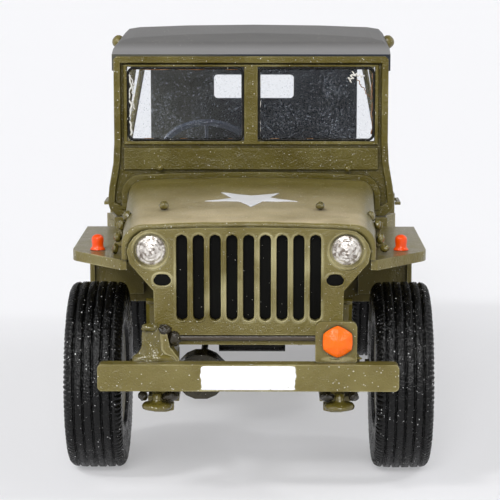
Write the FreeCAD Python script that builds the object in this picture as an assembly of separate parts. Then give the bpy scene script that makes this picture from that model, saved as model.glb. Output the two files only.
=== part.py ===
"""Open four-wheel-drive army utility car, built as a 1:24 plastic kit model.

Millimetres.  The car faces -Y, +X is its left-hand side and +Z is up.  Lengths along
the car are written from the front axle (negative ahead of it); save() moves every
piece so that the origin lies on the ground in the middle of the length.
"""
import FreeCAD, Part
import math
import os

from FreeCAD import Vector

# ---------------------------------------------------------------- driving sizes
WHEELBASE = 84.67          # front axle to rear axle
WHEEL_X = 24.3             # wheel centre from the middle of the car
TYRE_R = 15.0
TYRE_HALF_W = 4.5
RIM_R = 8.0                # bead seat, where the tyre sits
RIM_HALF_W = TYRE_HALF_W - 0.8
RIM_WALL = 0.85            # of the rim outboard of its disc
WHEEL_FLATS = 36           # a wheel is drawn with this many flats
GLUE = 0.05                # gap left between two pieces that are glued together
RUN = 0.05                 # radial running gap of a wheel on its spindle
SKIN = 1.0                 # thickness of body panels

# chassis
RAIL_X = 12.6              # middle of a frame rail
RAIL_W = 2.4
RAIL_TOP = 21.9            # under the body floor
RAIL_H = 3.0
RAIL_RISE = 1.0            # how much higher the rails run over the front axle
HORN_LOW, HORN_HIGH = 18.0, 21.3   # rail ends behind the front bumper
FRAME_FRONT = -20.7        # behind the front bumper
GUSSET_TOP = 26.6          # upright gussets behind the bumper, one on each rail end
TOWER_Y, TOWER_TOP = -7.0, 29.2    # posts on the rails that the front dampers hang from
REAR_OVERHANG = 19.93      # of frame and body behind the rear axle
FRAME_REAR = WHEELBASE + REAR_OVERHANG
HITCH_Z = 20.0
BUMPERETTE_H = 2.7
AXLE_R = 1.4
SPINDLE_R = 1.2
DIFF_X = -7.8              # both differentials lie right of the middle
SPRING_X = 13.4
SPRING_W = 1.9

# bumper and its lamp
BUMPER_HALF_W = 22.6
BUMPER_LOW, BUMPER_HIGH = 17.6, 21.7
BUMPER_FRONT = -23.3
LAMP_PLATE_X = 13.2        # middle of the plate that carries the signal lamp
LAMP_PLATE_Y = -21.9
LAMP_PLATE_W, LAMP_PLATE_H = 6.25, 6.2
LAMP_ACROSS = 4.6          # hexagonal lamp, flat to flat

# grille
GRILLE_FRONT = -14.5
GRILLE_DEPTH = 3.4
GRILLE_LOW = 24.4
GRILLE_FACE_T = 1.2
GRILLE_FLANGE_T = 0.6
SLOT_COUNT, SLOT_PITCH, SLOT_W = 9, 2.56, 1.9
SLOT_LOW, SLOT_HIGH = 26.6, 40.05
HEADLAMP_X, HEADLAMP_Z = 15.0, 37.5
HEADLAMP_R = 2.25
HEADLAMP_HOLE_R = 2.75
LAMP_SUNK = 0.7            # how far a headlamp's bucket stands back in its hole
MARKER_X, MARKER_Z = 13.25, 33.0

# hood and cowl
HOOD_FRONT, HOOD_REAR = -14.1, 26.6
HOOD_T = 0.8
FENDER_TOP = 36.0
FENDER_T = 0.8
FENDER_LOW = 23.4          # foot of its sloping rear wall, at the cowl
FENDER_LIP = 1.6           # height of the turned-down edge
FENDER_OUTER = 28.0
FENDER_BEND = 22.6         # where its flat top turns down behind the wheel
FENDER_INNER = 18.75
FENDER_FRONT = -13.6
FENDER_SWEEP = 9.0         # how far the outer front corner lies behind the inner one

# tub
COWL_FRONT = 26.7
COWL_REAR = 31.6
COWL_HALF_W = 23.8         # lower body at the cowl
TUB_HALF_W = 27.2
TUB_REAR = WHEELBASE + REAR_OVERHANG
TUB_LOW, TUB_RAIL = 18.5, 36.8
FLOOR_T = 0.8
ARCH_HALF_L = 16.6         # rear wheel opening, from the axle
ARCH_TOP = 33.0
TYRE_AIR = 0.5             # between a rear tyre and the box over it
WHEELHOUSE_X = WHEEL_X - TYRE_HALF_W - TYRE_AIR - SKIN    # inner wall of that box
DOOR_FRONT, DOOR_LOW = 32.6, 24.6
DOOR_REAR = WHEELBASE - ARCH_HALF_L - 9.0
SEAT_X = TUB_HALF_W - 15.6  # middle of a front seat
BENCH_Y = WHEELBASE - 6.67  # front of the rear bench

# windshield
SCREEN_Y = 28.7
SCREEN_T = 1.4
SCREEN_HALF_W = 23.8
BAR_W = 1.15               # of the bar round the screen
SEAL_GAP, SEAL_W = 0.15, 1.1
SCREEN_LOW = 44.7
GLASS_LOW = 50.0
GLASS_IN, GLASS_OUT = 1.2, 21.5
PANE_T = 0.4

# soft top
TOP_HALF_FRONT, TOP_HALF_REAR = SCREEN_HALF_W + 0.3, TUB_HALF_W + 0.2
TOP_Z = 67.3               # crown of the roof
SCREEN_HIGH = TOP_Z - 2.6
GLASS_HIGH = SCREEN_HIGH - 1.8
TOP_REAR = TUB_REAR - 2.6  # where the roof turns down into the curtain
TOP_T = 0.8
TOP_VALANCE = 2.6          # how far the roof hangs down at the sides
CURTAIN_HALF_W = TUB_HALF_W - 5.2
WINDOW_HALF_W = 8.5
WINDOW_LOW, WINDOW_HIGH = TOP_Z - 15.8, TOP_Z - 10.8
BOW_R = 0.6

# spare wheel
SPARE_X, SPARE_Z = -8.5, 35.2
SPARE_CARRIER = 1.6        # stand-off from the rear panel

SPARE_BACK = TUB_REAR + SPARE_CARRIER + 2 * TYRE_HALF_W
ORIGIN_Y = (BUMPER_FRONT + SPARE_BACK) / 2


# ---------------------------------------------------------------- shape helpers
def place(plane, a, b, level):
    """Point (a, b) of a plane named by its two axes, at a level along the third."""
    return {"xy": Vector(a, b, level), "xz": Vector(a, level, b), "yz": Vector(level, a, b)}[plane]


def outline(points, plane, level):
    """Closed wire through (a, b) or (a, b, corner radius), with arcs at the corners."""
    corners = [(p[0], p[1], p[2] if len(p) > 2 else 0.0) for p in points]
    count = len(corners)
    cuts = []
    for i, (a, b, radius) in enumerate(corners):
        here = Vector(a, b, 0)
        if radius <= 0:
            cuts.append((here, None, here))
            continue
        back = Vector(corners[i - 1][0], corners[i - 1][1], 0).sub(here).normalize()
        ahead_at = corners[(i + 1) % count]
        ahead = Vector(ahead_at[0], ahead_at[1], 0).sub(here).normalize()
        half = back.getAngle(ahead) / 2
        reach = radius / math.tan(half)
        middle = back.add(ahead).normalize()
        top = here.add(middle * (radius / math.sin(half) - radius))
        cuts.append((here.add(back * reach), top, here.add(ahead * reach)))
    edges = []
    for i, (start, top, end) in enumerate(cuts):
        if top is not None:
            spots = [place(plane, v.x, v.y, level) for v in (start, top, end)]
            edges.append(Part.Arc(*spots).toShape())
        after = cuts[(i + 1) % count][0]
        if end.sub(after).Length > 1e-6:
            edges.append(Part.makeLine(place(plane, end.x, end.y, level),
                                       place(plane, after.x, after.y, level)))
    return Part.Wire(edges)


def rectangle(x0, x1, z0, z1):
    """Corners of an upright rectangle."""
    return [(x0, z0), (x1, z0), (x1, z1), (x0, z1)]


def slab(points, plane, low, high):
    """Outline in one plane, carried from low to high across it."""
    face = Part.Face(outline(points, plane, low))
    return face.extrude(place(plane, 0, 0, high - low))


def box(x, y, z):
    """Box from three (low, high) pairs."""
    return Part.makeBox(x[1] - x[0], y[1] - y[0], z[1] - z[0], Vector(x[0], y[0], z[0]))


def drum(start, end, radius):
    """Round drum or hole between two points."""
    run = Vector(*end).sub(Vector(*start))
    return Part.makeCylinder(radius, run.Length, Vector(*start), run)


def rod(start, end, radius, flats=8):
    """Bar between two points, drawn with flats; the radius reaches the corners."""
    run = Vector(*end).sub(Vector(*start))
    steep = abs(run.z) > 0.9 * run.Length
    side = run.cross(Vector(1, 0, 0) if steep else Vector(0, 0, 1)).normalize()
    up = side.cross(run).normalize()
    turns = [2 * math.pi * (k + 0.5) / flats for k in range(flats)]
    ring = [Vector(*start).add(side * (radius * math.cos(t))).add(up * (radius * math.sin(t))) for t in turns]
    return Part.Face(Part.makePolygon(ring + ring[:1])).extrude(run)


def rods(points, radius):
    """Thin bar bent at each point: straight rods that overlap at the corners."""
    bars = []
    for start, end in zip(points, points[1:]):
        lap = Vector(*end).sub(Vector(*start)).normalize() * (radius * 0.7)
        bars.append(rod(Vector(*start).sub(lap), Vector(*end).add(lap), radius))
    return fused(bars)


def closed_wire(points):
    """Closed wire of straight edges."""
    return Part.makePolygon(list(points) + [points[0]])


def lofted(front, back):
    """Flat-faced solid between two outlines that have the same number of points."""
    faces = [Part.Face(closed_wire(front)), Part.Face(closed_wire(back))]
    for i in range(len(front)):
        faces.append(Part.Face(closed_wire([front[i - 1], front[i], back[i], back[i - 1]])))
    solid = Part.Solid(Part.Shell(faces))
    if solid.Volume < 0:
        solid.reverse()
    return solid


def fused(pieces):
    """One solid from pieces that meet."""
    whole = pieces[0].multiFuse(pieces[1:]) if len(pieces) > 1 else pieces[0]
    return whole.removeSplitter()


def mirrored(shape):
    """The same piece on the other side of the car."""
    return shape.mirror(Vector(0, 0, 0), Vector(1, 0, 0))


def pair(shape):
    """A piece and its mirror image as two separate solids."""
    return Part.makeCompound([shape, mirrored(shape)])


def save(name, shape):
    """Write one node, moved so that the origin is in the middle of the length."""
    moved = shape.copy()
    moved.translate(Vector(0, -ORIGIN_Y, 0))
    moved.exportStep("parts/" + name + ".step")


# ---------------------------------------------------------------- chassis
# side view of a rail: y, lower edge, upper edge
RAIL_STATIONS = ((FRAME_FRONT, HORN_LOW, HORN_HIGH),
                 (-13.6, RAIL_TOP - RAIL_H + 0.4, RAIL_TOP + RAIL_RISE),
                 (14.0, RAIL_TOP - RAIL_H + RAIL_RISE, RAIL_TOP + RAIL_RISE),
                 (24.0, RAIL_TOP - RAIL_H, RAIL_TOP),
                 (FRAME_REAR, RAIL_TOP - RAIL_H, RAIL_TOP))


def rail_low(y):
    """Height of a rail's lower edge at a place along it."""
    for (y0, low0, _), (y1, low1, _) in zip(RAIL_STATIONS, RAIL_STATIONS[1:]):
        if y <= y1:
            return low0 + (low1 - low0) * (y - y0) / (y1 - y0)
    return RAIL_STATIONS[-1][1]


def chassis_frame():
    """Two rails that rise over the front axle, tied by cross-members."""
    inner, outer = RAIL_X - RAIL_W / 2, RAIL_X + RAIL_W / 2
    side = [(y, low) for y, low, _ in RAIL_STATIONS] + [(y, high) for y, _, high in reversed(RAIL_STATIONS)]
    rail = slab(side, "yz", inner, outer)
    foot, neck = HORN_HIGH - 0.6, GUSSET_TOP - 2.8
    horn = slab([(inner - 0.9, foot), (outer + 3.0, foot), (outer + 3.0, foot + 1.4), (outer + 1.2, neck),
                 (outer + 1.4, GUSSET_TOP, 0.5), (inner + 1.0, GUSSET_TOP, 0.5), (inner + 0.4, neck),
                 (inner - 0.9, foot + 1.4)], "xz", FRAME_FRONT, FRAME_FRONT + 3.0)
    tower = box((outer - 0.5, outer + 0.3), (TOWER_Y - 1.3, TOWER_Y + 1.3), (RAIL_TOP - 0.4, TOWER_TOP))
    low, high = RAIL_TOP - RAIL_H, RAIL_TOP
    ties = [box((-inner - 0.5, inner + 0.5), (y, y + 3.0), (low + 0.4, high - 0.4))
            for y in (53.0, 66.5, FRAME_REAR - 3.0)]
    grille_tie = box((-outer, outer), (GRILLE_FRONT + 0.9, GRILLE_FRONT + GRILLE_DEPTH + 0.6),
                     (high + RAIL_RISE - 0.2, GRILLE_LOW - GLUE))
    front_tie = rod((-RAIL_X, FRAME_FRONT + 5.2, HORN_LOW + 1.6), (RAIL_X, FRAME_FRONT + 5.2, HORN_LOW + 1.6), 0.7)
    return fused([rail, mirrored(rail), horn, mirrored(horn), tower, mirrored(tower), grille_tie, front_tie] + ties)


def front_bumper():
    """Channel bumper, open at the back between the frame rails."""
    back = FRAME_FRONT - GLUE
    bar = slab([(-BUMPER_HALF_W, BUMPER_LOW, 0.7), (BUMPER_HALF_W, BUMPER_LOW, 0.7),
                (BUMPER_HALF_W, BUMPER_HIGH, 0.7), (-BUMPER_HALF_W, BUMPER_HIGH, 0.7)],
               "xz", BUMPER_FRONT, back)
    hollow_x = RAIL_X - RAIL_W / 2 - 1.5
    hollow = box((-hollow_x, hollow_x), (BUMPER_FRONT + 1.0, back + 1),
                 (BUMPER_LOW + 0.9, BUMPER_HIGH - 0.9))
    return bar.cut(hollow)


def rear_bumperettes():
    """Two short bumpers bolted to the rear ends of the frame."""
    start = FRAME_REAR + GLUE
    high = SPARE_Z - TYRE_R - 0.3
    guard = slab([(RAIL_X - 1.2, start), (RAIL_X + 1.2, start), (RAIL_X + 2.0, start + 2.0),
                  (RAIL_X + 6.6, start + 2.4), (RAIL_X + 6.0, start + 3.2),
                  (RAIL_X - 5.4, start + 3.2), (RAIL_X - 6.0, start + 2.4),
                  (RAIL_X - 2.0, start + 2.0)], "xy", high - BUMPERETTE_H, high)
    return pair(guard)


def tow_hitch():
    """Pintle hook on the rear cross-member: a plate, a shank and an upright eye."""
    start = FRAME_REAR + GLUE
    z = HITCH_Z
    plate = box((-2.6, 2.6), (start, start + 0.8), (z - 1.4, z + 1.4))
    shank = box((-0.7, 0.7), (start + 0.7, start + 2.6), (z - 0.6, z + 0.6))
    eye_y = start + 4.2
    eye = Part.makeCylinder(2.0, 1.2, Vector(0, eye_y, z - 0.6))
    return fused([plate, shank, eye]).cut(Part.makeCylinder(1.05, 4, Vector(0, eye_y, z - 2)))


# ---------------------------------------------------------------- axles and springs
KNUCKLE_X = WHEEL_X - TYRE_HALF_W - 2.8    # middle of a steering knuckle


def axle(y, diff_side, knuckles):
    """Axle tube with its differential, pinion nose, brake flanges, spindles and kingpins."""
    z = TYRE_R
    flange_x = WHEEL_X - TYRE_HALF_W - 0.4
    inner, outer = DIFF_X - 2.4, DIFF_X + 2.4
    bulge = [(inner - 1.4, 1.6), (inner, 3.0), (inner + 1.4, 3.6), (outer - 1.4, 3.6), (outer, 3.0), (outer + 1.4, 1.6)]
    diff = slab([(x, z + r) for x, r in bulge] + [(x, z - r) for x, r in reversed(bulge)], "xz", y - 2.4, y + 2.4)
    parts = [diff, rod((DIFF_X, y, z), (DIFF_X, y + diff_side * 5.2, z), 1.7)]
    tube = rod((-flange_x, y, z), (flange_x, y, z), AXLE_R)
    parts.append(tube)
    for side in (-1, 1):
        flange = rod((side * (flange_x - 0.7), y, z), (side * flange_x, y, z), 2.5)
        spindle = drum((side * (flange_x - 0.7), y, z), (side * (WHEEL_X + 0.5), y, z), SPINDLE_R)
        parts += [flange, spindle]
        if knuckles:
            x = side * KNUCKLE_X
            parts.append(rod((x - 1.3, y, z), (x + 1.3, y, z), 2.1))
            parts.append(rod((x, y, z - 2.9), (x, y, z + 2.9), 0.9))
    return fused(parts)


def tie_rod():
    """Steering cross rod ahead of the front axle, with an arm to each knuckle."""
    y, z = -5.6, TYRE_R + 0.2
    bar = rod((-KNUCKLE_X, y, z), (KNUCKLE_X, y, z), 0.45)
    arm = box((KNUCKLE_X - 0.5, KNUCKLE_X + 0.5), (y - 0.6, -2.1 - GLUE), (z - 0.5, z + 0.5))
    return fused([bar, arm, mirrored(arm)])


# each leaf's reach as a share of the longest
LEAVES = (1.0, 0.7, 0.4)
LEAF_T = 0.7
SPRING_LIFT = 1.8          # how much higher the ends are than the middle
HANGER_R = 2.1


def leaf_springs(y, reach, hangers=False):
    """A pair of leaf springs under an axle, with saddle plates, frame shackles and, where
    asked for, a round hanger under each front eye."""
    top = TYRE_R - AXLE_R - GLUE

    def arc(share):
        return top + SPRING_LIFT * share ** 2

    upper = [(reach * a, arc(a)) for a in (1.0, 0.5)] + [(0.0, top)]
    lower = []
    for i, share in enumerate(LEAVES):
        lower.append((reach * share, arc(share) - LEAF_T * i))
        lower.append((reach * share, arc(share) - LEAF_T * (i + 1)))
    half = upper[::-1] + lower[1:]
    side = [(y + a, b) for a, b in half] + [(y - a, b) for a, b in reversed(half[1:])]
    parts = [slab(side, "yz", SPRING_X - SPRING_W / 2, SPRING_X + SPRING_W / 2)]
    parts.append(box((SPRING_X - 2.1, SPRING_X + 2.9), (y - 3.2, y + 3.2), (top - 2.3, top - 1.5)))
    for at in (y - reach, y + reach):
        eye_z = top + 1.6
        parts.append(rod((SPRING_X - 1.3, at, eye_z), (SPRING_X + 1.3, at, eye_z), 0.8))
        parts.append(box((SPRING_X - 0.8, SPRING_X + 0.8), (at - 0.7, at + 0.7),
                         (eye_z, min(rail_low(at - 0.7), rail_low(at + 0.7)) - GLUE)))
    if hangers:
        at, eye_z = y - reach, top + 1.6
        parts.append(rod((SPRING_X, at, eye_z - 1.9), (SPRING_X, at, eye_z - 0.9), HANGER_R))
        parts.append(rod((SPRING_X, at, eye_z - 1.5), (SPRING_X, at, eye_z), 0.9))
    return pair(fused(parts))


def shock_absorbers():
    """Four telescopic dampers: rod, wider sleeve and the pin that hangs each on the frame."""
    bars = []
    x = SPRING_X + SPRING_W / 2 + 0.95
    saddle = TYRE_R - AXLE_R - GLUE - 0.5
    outer = RAIL_X + RAIL_W / 2 + GLUE
    # foot along and pin along, inner end and height of the pin
    for foot_y, pin_y, start, pin_z in ((-2.5, TOWER_Y, outer + 0.3, TOWER_TOP - 1.0),
                                        (WHEELBASE + 2.5, WHEELBASE + 7.0, outer, rail_low(WHEELBASE) + 1.6)):
        low, high = Vector(x, foot_y, saddle), Vector(x, pin_y, pin_z)
        middle = low.add(high.sub(low) * 0.45)
        pin = rod((start, pin_y, pin_z), (x + 0.9, pin_y, pin_z), 0.6)
        damper = fused([rod(low, high, 0.7), rod(middle, high, 1.0), pin])
        bars += [damper, mirrored(damper)]
    return Part.makeCompound(bars)


# ---------------------------------------------------------------- drive line
def engine_gearbox():
    """Engine as one plain block, its sump, its two arms and the gearbox behind it."""
    block = box((-5.6, 6.4), (0.8, 22.5), (24.0, 36.0))
    sump = slab([(1.6, 24.2), (1.6, 18.2, 1.0), (20.0, 18.2, 1.0), (22.5, 24.2)], "yz", -5.0, 5.8)
    arm = box((-(RAIL_X - RAIL_W / 2) + GLUE, RAIL_X - RAIL_W / 2 - GLUE), (3.0, 5.0),
              (RAIL_TOP + RAIL_RISE - 1.8, RAIL_TOP + RAIL_RISE - 0.3))
    gearbox = slab([(19.5, 16.6), (50.0, 15.8), (50.0, RAIL_TOP - 0.3), (19.5, RAIL_TOP - 0.3)], "yz", -3.6, 3.6)
    transfer = box((DIFF_X - 2.2, -3.4), (41.0, 49.0), (15.6, 21.2))
    return fused([block, sump, arm, gearbox, transfer])


def prop_shafts():
    """Front and rear propeller shafts from the transfer case to the differentials."""
    z = TYRE_R + 1.9
    front = rod((DIFF_X, 5.2 + GLUE, TYRE_R), (DIFF_X, 41.0 - GLUE, z), 0.6)
    rear = rod((DIFF_X, 49.0 + GLUE, z), (DIFF_X, WHEELBASE - 5.2 - GLUE, TYRE_R), 0.6)
    joints = [rod((DIFF_X, a, za), (DIFF_X, a + 1.6, za), 1.0)
              for a, za in ((5.6, TYRE_R), (39.0, z), (49.4, z), (WHEELBASE - 7.2, TYRE_R))]
    return Part.makeCompound([fused([front] + joints[:2]), fused([rear] + joints[2:])])


def exhaust():
    """Exhaust pipe with its silencer under the left side of the floor."""
    z = 18.4
    pipe = rods([(8.4, 14.0, 26.0), (8.4, 14.0, 17.6), (8.4, 30.0, 17.2), (17.8, 40.0, z), (17.8, 46.4, z)], 0.75)
    silencer = rod((17.8, 45.6, 19.9), (17.8, 62.6, 19.9), 1.9)
    tail = rods([(17.8, 62.0, 19.4), (17.8, 64.8, 19.4), (17.8, 64.8, 16.6)], 0.6)
    return fused([pipe, silencer, tail])


def skid_plate():
    """Pressed guard under the gearbox, hung from the two frame rails."""
    inner, outer = RAIL_X - RAIL_W / 2, RAIL_X + RAIL_W / 2
    top = RAIL_TOP - RAIL_H - GLUE
    low, t = 14.2, 0.8
    half = [(inner + 0.6, top), (inner - 0.6, low + t)]
    rim_half = [(inner - 0.3, low), (inner + 1.3, top - t), (outer, top - t), (outer, top)]
    upper = [(-x, z) for x, z in half] + [(x, z) for x, z in reversed(half)]
    lower = [(x, z) for x, z in reversed(rim_half)] + [(-x, z) for x, z in rim_half]
    return slab(upper + lower, "xz", 40.0, 52.0)


# ---------------------------------------------------------------- nose
# the hood's shoulder in shares of its width and height, from the crease out to the side,
# then its crown in shares of the half width and of the rise; both keep their slopes
# from nose to cowl, so that every face of the loft is flat
SHOULDER = ((0.0, 1.0), (0.36, 0.91), (0.68, 0.66), (0.90, 0.34), (1.0, 0.0))
CROWN = ((0.0, 1.0), (0.5, 0.76), (1.0, 0.0))
CROWN_RISE = 0.025         # of the half width at the crease
SHOULDER_DROP = 0.96       # of the shoulder's width


def hood_section(half_crease, half_side, top, low, inset, y):
    """Cross-section of the hood: crowned top, round shoulders and upright sides."""
    side = half_side - inset
    crease = half_crease - inset * 0.4
    rise = crease * CROWN_RISE
    level = top - inset - rise
    drop = (side - crease) * SHOULDER_DROP
    half = [(crease * a, level + rise * b) for a, b in CROWN]
    half += [(crease + (side - crease) * a, level - drop * (1 - b)) for a, b in SHOULDER[1:]]
    half.append((side, low))
    spots = [(-a, b) for a, b in reversed(half)] + half[1:]
    return [Vector(a, y, b) for a, b in spots]


# hood stations: crease from the middle, side from the middle, top
NOSE_STATION = (15.5, 19.5, 42.0)
COWL_STATION = (18.9, 21.3, 43.4)


def hood():
    """Hood panel: a loft between its nose and cowl sections, hollow from below."""
    low = FENDER_TOP + GLUE
    nose_y, cowl_y = HOOD_FRONT, HOOD_REAR
    outer = lofted(hood_section(*NOSE_STATION, low, 0, nose_y),
                   hood_section(*COWL_STATION, low, 0, cowl_y))
    inner = lofted(hood_section(*NOSE_STATION, low - 1, HOOD_T, nose_y - 0.01),
                   hood_section(*COWL_STATION, low - 1, HOOD_T, cowl_y + 0.01))
    return outer.cut(inner)


def hood_z(y):
    """Height of the hood's crown at a place along it."""
    share = (y - HOOD_FRONT) / (HOOD_REAR - HOOD_FRONT)
    return NOSE_STATION[2] + share * (COWL_STATION[2] - NOSE_STATION[2])


def hood_blocks():
    """Two windshield rests on little posts, and the windshield latch knob."""
    x, y = 12.4, -1.9
    base = hood_z(y) - 0.1
    rest = fused([box((x - 1.0, x + 1.0), (y - 1.6, y + 1.6), (base + 0.5, base + 1.15)),
                  box((x - 0.35, x + 0.35), (y - 0.6, y + 0.6), (base, base + 0.6))])
    knob_y = 24.9
    knob_z = hood_z(knob_y) + GLUE
    knob = fused([rod((1.0, knob_y, knob_z), (1.0, knob_y, knob_z + 0.5), 0.8),
                  rod((1.0, knob_y, knob_z), (1.0, knob_y, knob_z + 1.0), 0.45)])
    return Part.makeCompound([rest, mirrored(rest), knob])


def hood_catches():
    """Spring catches that hold the hood's sides to the fenders."""
    y = 0.0
    side = NOSE_STATION[1] + (COWL_STATION[1] - NOSE_STATION[1]) * (y - HOOD_FRONT) / (HOOD_REAR - HOOD_FRONT)
    x = side + GLUE
    foot = box((x + 0.1, x + 1.5), (y - 1.2, y + 1.2), (FENDER_TOP + GLUE, FENDER_TOP + 0.7))
    post = box((x + 0.1, x + 0.8), (y - 0.55, y + 0.55), (FENDER_TOP + 0.3, FENDER_TOP + 3.4))
    hook = box((x + 0.1, x + 1.1), (y - 0.75, y + 0.75), (FENDER_TOP + 2.9, FENDER_TOP + 3.9))
    return pair(fused([foot, post, hook]))


def grille_body(inset, y0, y1):
    """Solid front shape of the grille: narrow below, flared to the lamps, under the hood."""
    side = NOSE_STATION[1] - HOOD_T - GLUE
    half = [(14.45, GRILLE_LOW), (14.6, 31.3), (18.3, 35.6), (side, 37.4), (side, 45.0)]
    half = [(x - inset, max(z, GRILLE_LOW + inset)) for x, z in half]
    body = slab(half + [(-x, z) for x, z in reversed(half)], "xz", y0, y1)
    under_hood = lofted(*[hood_section(*NOSE_STATION, GRILLE_LOW - 5, HOOD_T + GLUE + inset, y) for y in (y0, y1)])
    return body.common(under_hood)


def round_ended(x, low, high, radius):
    """Outline of an upright slot; each round end is drawn with four flats."""
    turns = [math.pi * k / 4 for k in range(5)]
    top = [(x + radius * math.cos(t), high - radius + radius * math.sin(t)) for t in turns]
    foot = [(x - radius * math.cos(t), low + radius - radius * math.sin(t)) for t in turns]
    return top + foot


def grille():
    """Pressed grille: face with nine slots and lamp holes, and a flange all round."""
    y0, y1 = GRILLE_FRONT, GRILLE_FRONT + GRILLE_DEPTH
    back = y0 + GRILLE_FACE_T
    shell = grille_body(0, y0, y1).cut(grille_body(GRILLE_FLANGE_T, back, y1 + 1))
    cuts = []
    for i in range(SLOT_COUNT):
        x = (i - (SLOT_COUNT - 1) / 2) * SLOT_PITCH
        cuts.append(slab(round_ended(x, SLOT_LOW, SLOT_HIGH, SLOT_W / 2), "xz", y0 - 1, back + 0.5))
    for side in (-1, 1):
        x = side * HEADLAMP_X
        cuts.append(drum((x, y0 - 1, HEADLAMP_Z), (x, back + 0.5, HEADLAMP_Z), HEADLAMP_HOLE_R))
        hole = slab([(-0.9, -0.95), (0.9, -0.95), (1.35, -0.5), (1.35, 0.1), (0.75, 0.9), (-0.75, 0.9), (-1.35, 0.1),
                     (-1.35, -0.5)], "xz", y0 - 1, back + 0.5)
        hole.translate(Vector(side * MARKER_X, 0, MARKER_Z))
        cuts.append(hole)
    return shell.cut(cuts)


def headlamps():
    """Headlamp buckets: a short drum set in the grille's round hole, with a stub behind."""
    y = GRILLE_FRONT + LAMP_SUNK
    depth = GRILLE_FACE_T - LAMP_SUNK
    shell = drum((HEADLAMP_X, y, HEADLAMP_Z), (HEADLAMP_X, y + depth, HEADLAMP_Z), HEADLAMP_HOLE_R - GLUE)
    stub = rod((HEADLAMP_X, y + depth - 0.1, HEADLAMP_Z), (HEADLAMP_X, y + depth + 1.4, HEADLAMP_Z), 1.6)
    return pair(fused([shell, stub]))


def headlamp_lenses():
    """Lenses standing on the front of the buckets."""
    y = GRILLE_FRONT + LAMP_SUNK - GLUE
    return pair(drum((HEADLAMP_X, y - 0.4, HEADLAMP_Z), (HEADLAMP_X, y, HEADLAMP_Z), HEADLAMP_R))


def radiator():
    """Radiator core behind the grille's slots, standing inside the grille's flange."""
    y = GRILLE_FRONT + GRILLE_FACE_T + 0.3
    low, high = GRILLE_LOW + GRILLE_FLANGE_T + GLUE, SLOT_HIGH
    return slab([(-12.0, low), (12.0, low), (12.0, high, 0.8), (-12.0, high, 0.8)], "xz", y, y + 1.7)


def fender(side):
    """Flat-topped fender with swept front, turned-down edges and a sloping rear wall."""
    def sheet(shift, depth):
        wall = COWL_FRONT - GLUE - shift * 0.9
        upper = [(FENDER_FRONT - 1, FENDER_TOP - shift), (FENDER_BEND - shift, FENDER_TOP - shift, 2.6),
                 (wall, FENDER_TOP - 5.2), (wall, FENDER_LOW)]
        lower = [(wall - depth + shift, FENDER_LOW), (wall - depth + shift, FENDER_TOP - 6.0),
                 (FENDER_BEND - depth, FENDER_TOP - depth, 2.2), (FENDER_FRONT - 1, FENDER_TOP - depth)]
        return slab(upper + lower, "yz", 0, 40)

    def plan(inset):
        return slab([(FENDER_INNER, FENDER_FRONT + inset), (FENDER_INNER + 1.0, FENDER_FRONT + inset),
                     (FENDER_OUTER - inset, FENDER_FRONT + FENDER_SWEEP + inset * 0.4, 4.0),
                     (FENDER_OUTER - inset, COWL_FRONT), (FENDER_INNER, COWL_FRONT)], "xy", 0, 60)

    whole = sheet(0, FENDER_LIP).common(plan(0))
    under = sheet(FENDER_T, FENDER_LIP + 3).common(plan(FENDER_T))
    shape = whole.cut(under)
    return shape if side > 0 else mirrored(shape)


def fender_lamps():
    """Bullet marker lamps on the fenders."""
    x, y = 24.0, -4.0
    z = FENDER_TOP + GLUE
    base = rod((x, y, z), (x, y, z + 0.35), 1.3)
    body = rod((x, y, z), (x, y, z + 1.8), 1.1)
    tip = rod((x, y, z + 1.7), (x, y, z + 2.45), 0.75)
    return pair(fused([base, body, tip]))


def signal_lamp_stand():
    """Square plate on a foot, standing on the bumper's top."""
    half = LAMP_PLATE_W / 2
    low = BUMPER_HIGH + GLUE
    y0 = LAMP_PLATE_Y
    return slab([(LAMP_PLATE_X - half, low, 0.3), (LAMP_PLATE_X + half, low, 0.3),
                 (LAMP_PLATE_X + half, low + LAMP_PLATE_H, 0.9), (LAMP_PLATE_X - half, low + LAMP_PLATE_H, 0.9)],
                "xz", y0, y0 + 1.0)


def signal_lamp():
    """Six-sided lamp with a bevelled face, on the front of its plate."""
    y = LAMP_PLATE_Y - GLUE
    z = BUMPER_HIGH + 3.3
    far, near = [], []
    for i in range(6):
        angle = math.radians(60 * i)
        for ring, r, yy in ((far, LAMP_ACROSS / math.sqrt(3), y), (near, LAMP_ACROSS / math.sqrt(3) * 0.8, y - 1.2)):
            ring.append(Vector(LAMP_PLATE_X + 0.2 + r * math.sin(angle), yy, z + r * math.cos(angle)))
    return Part.makeLoft([Part.makePolygon(far + far[:1]), Part.makePolygon(near + near[:1])], True, True)


# ---------------------------------------------------------------- body
def tub_plan(inset, low, high, front=COWL_FRONT):
    """Plan of the tub: narrow at the cowl, full width from the door back."""
    i = inset
    return slab([(-COWL_HALF_W + i, front), (COWL_HALF_W - i, front), (COWL_HALF_W - i, 29.5),
                 (TUB_HALF_W - i, 35.5), (TUB_HALF_W - i, TUB_REAR - i, 3.2 - i),
                 (-TUB_HALF_W + i, TUB_REAR - i, 3.2 - i), (-TUB_HALF_W + i, 35.5), (-COWL_HALF_W + i, 29.5)],
                "xy", low, high)


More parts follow.
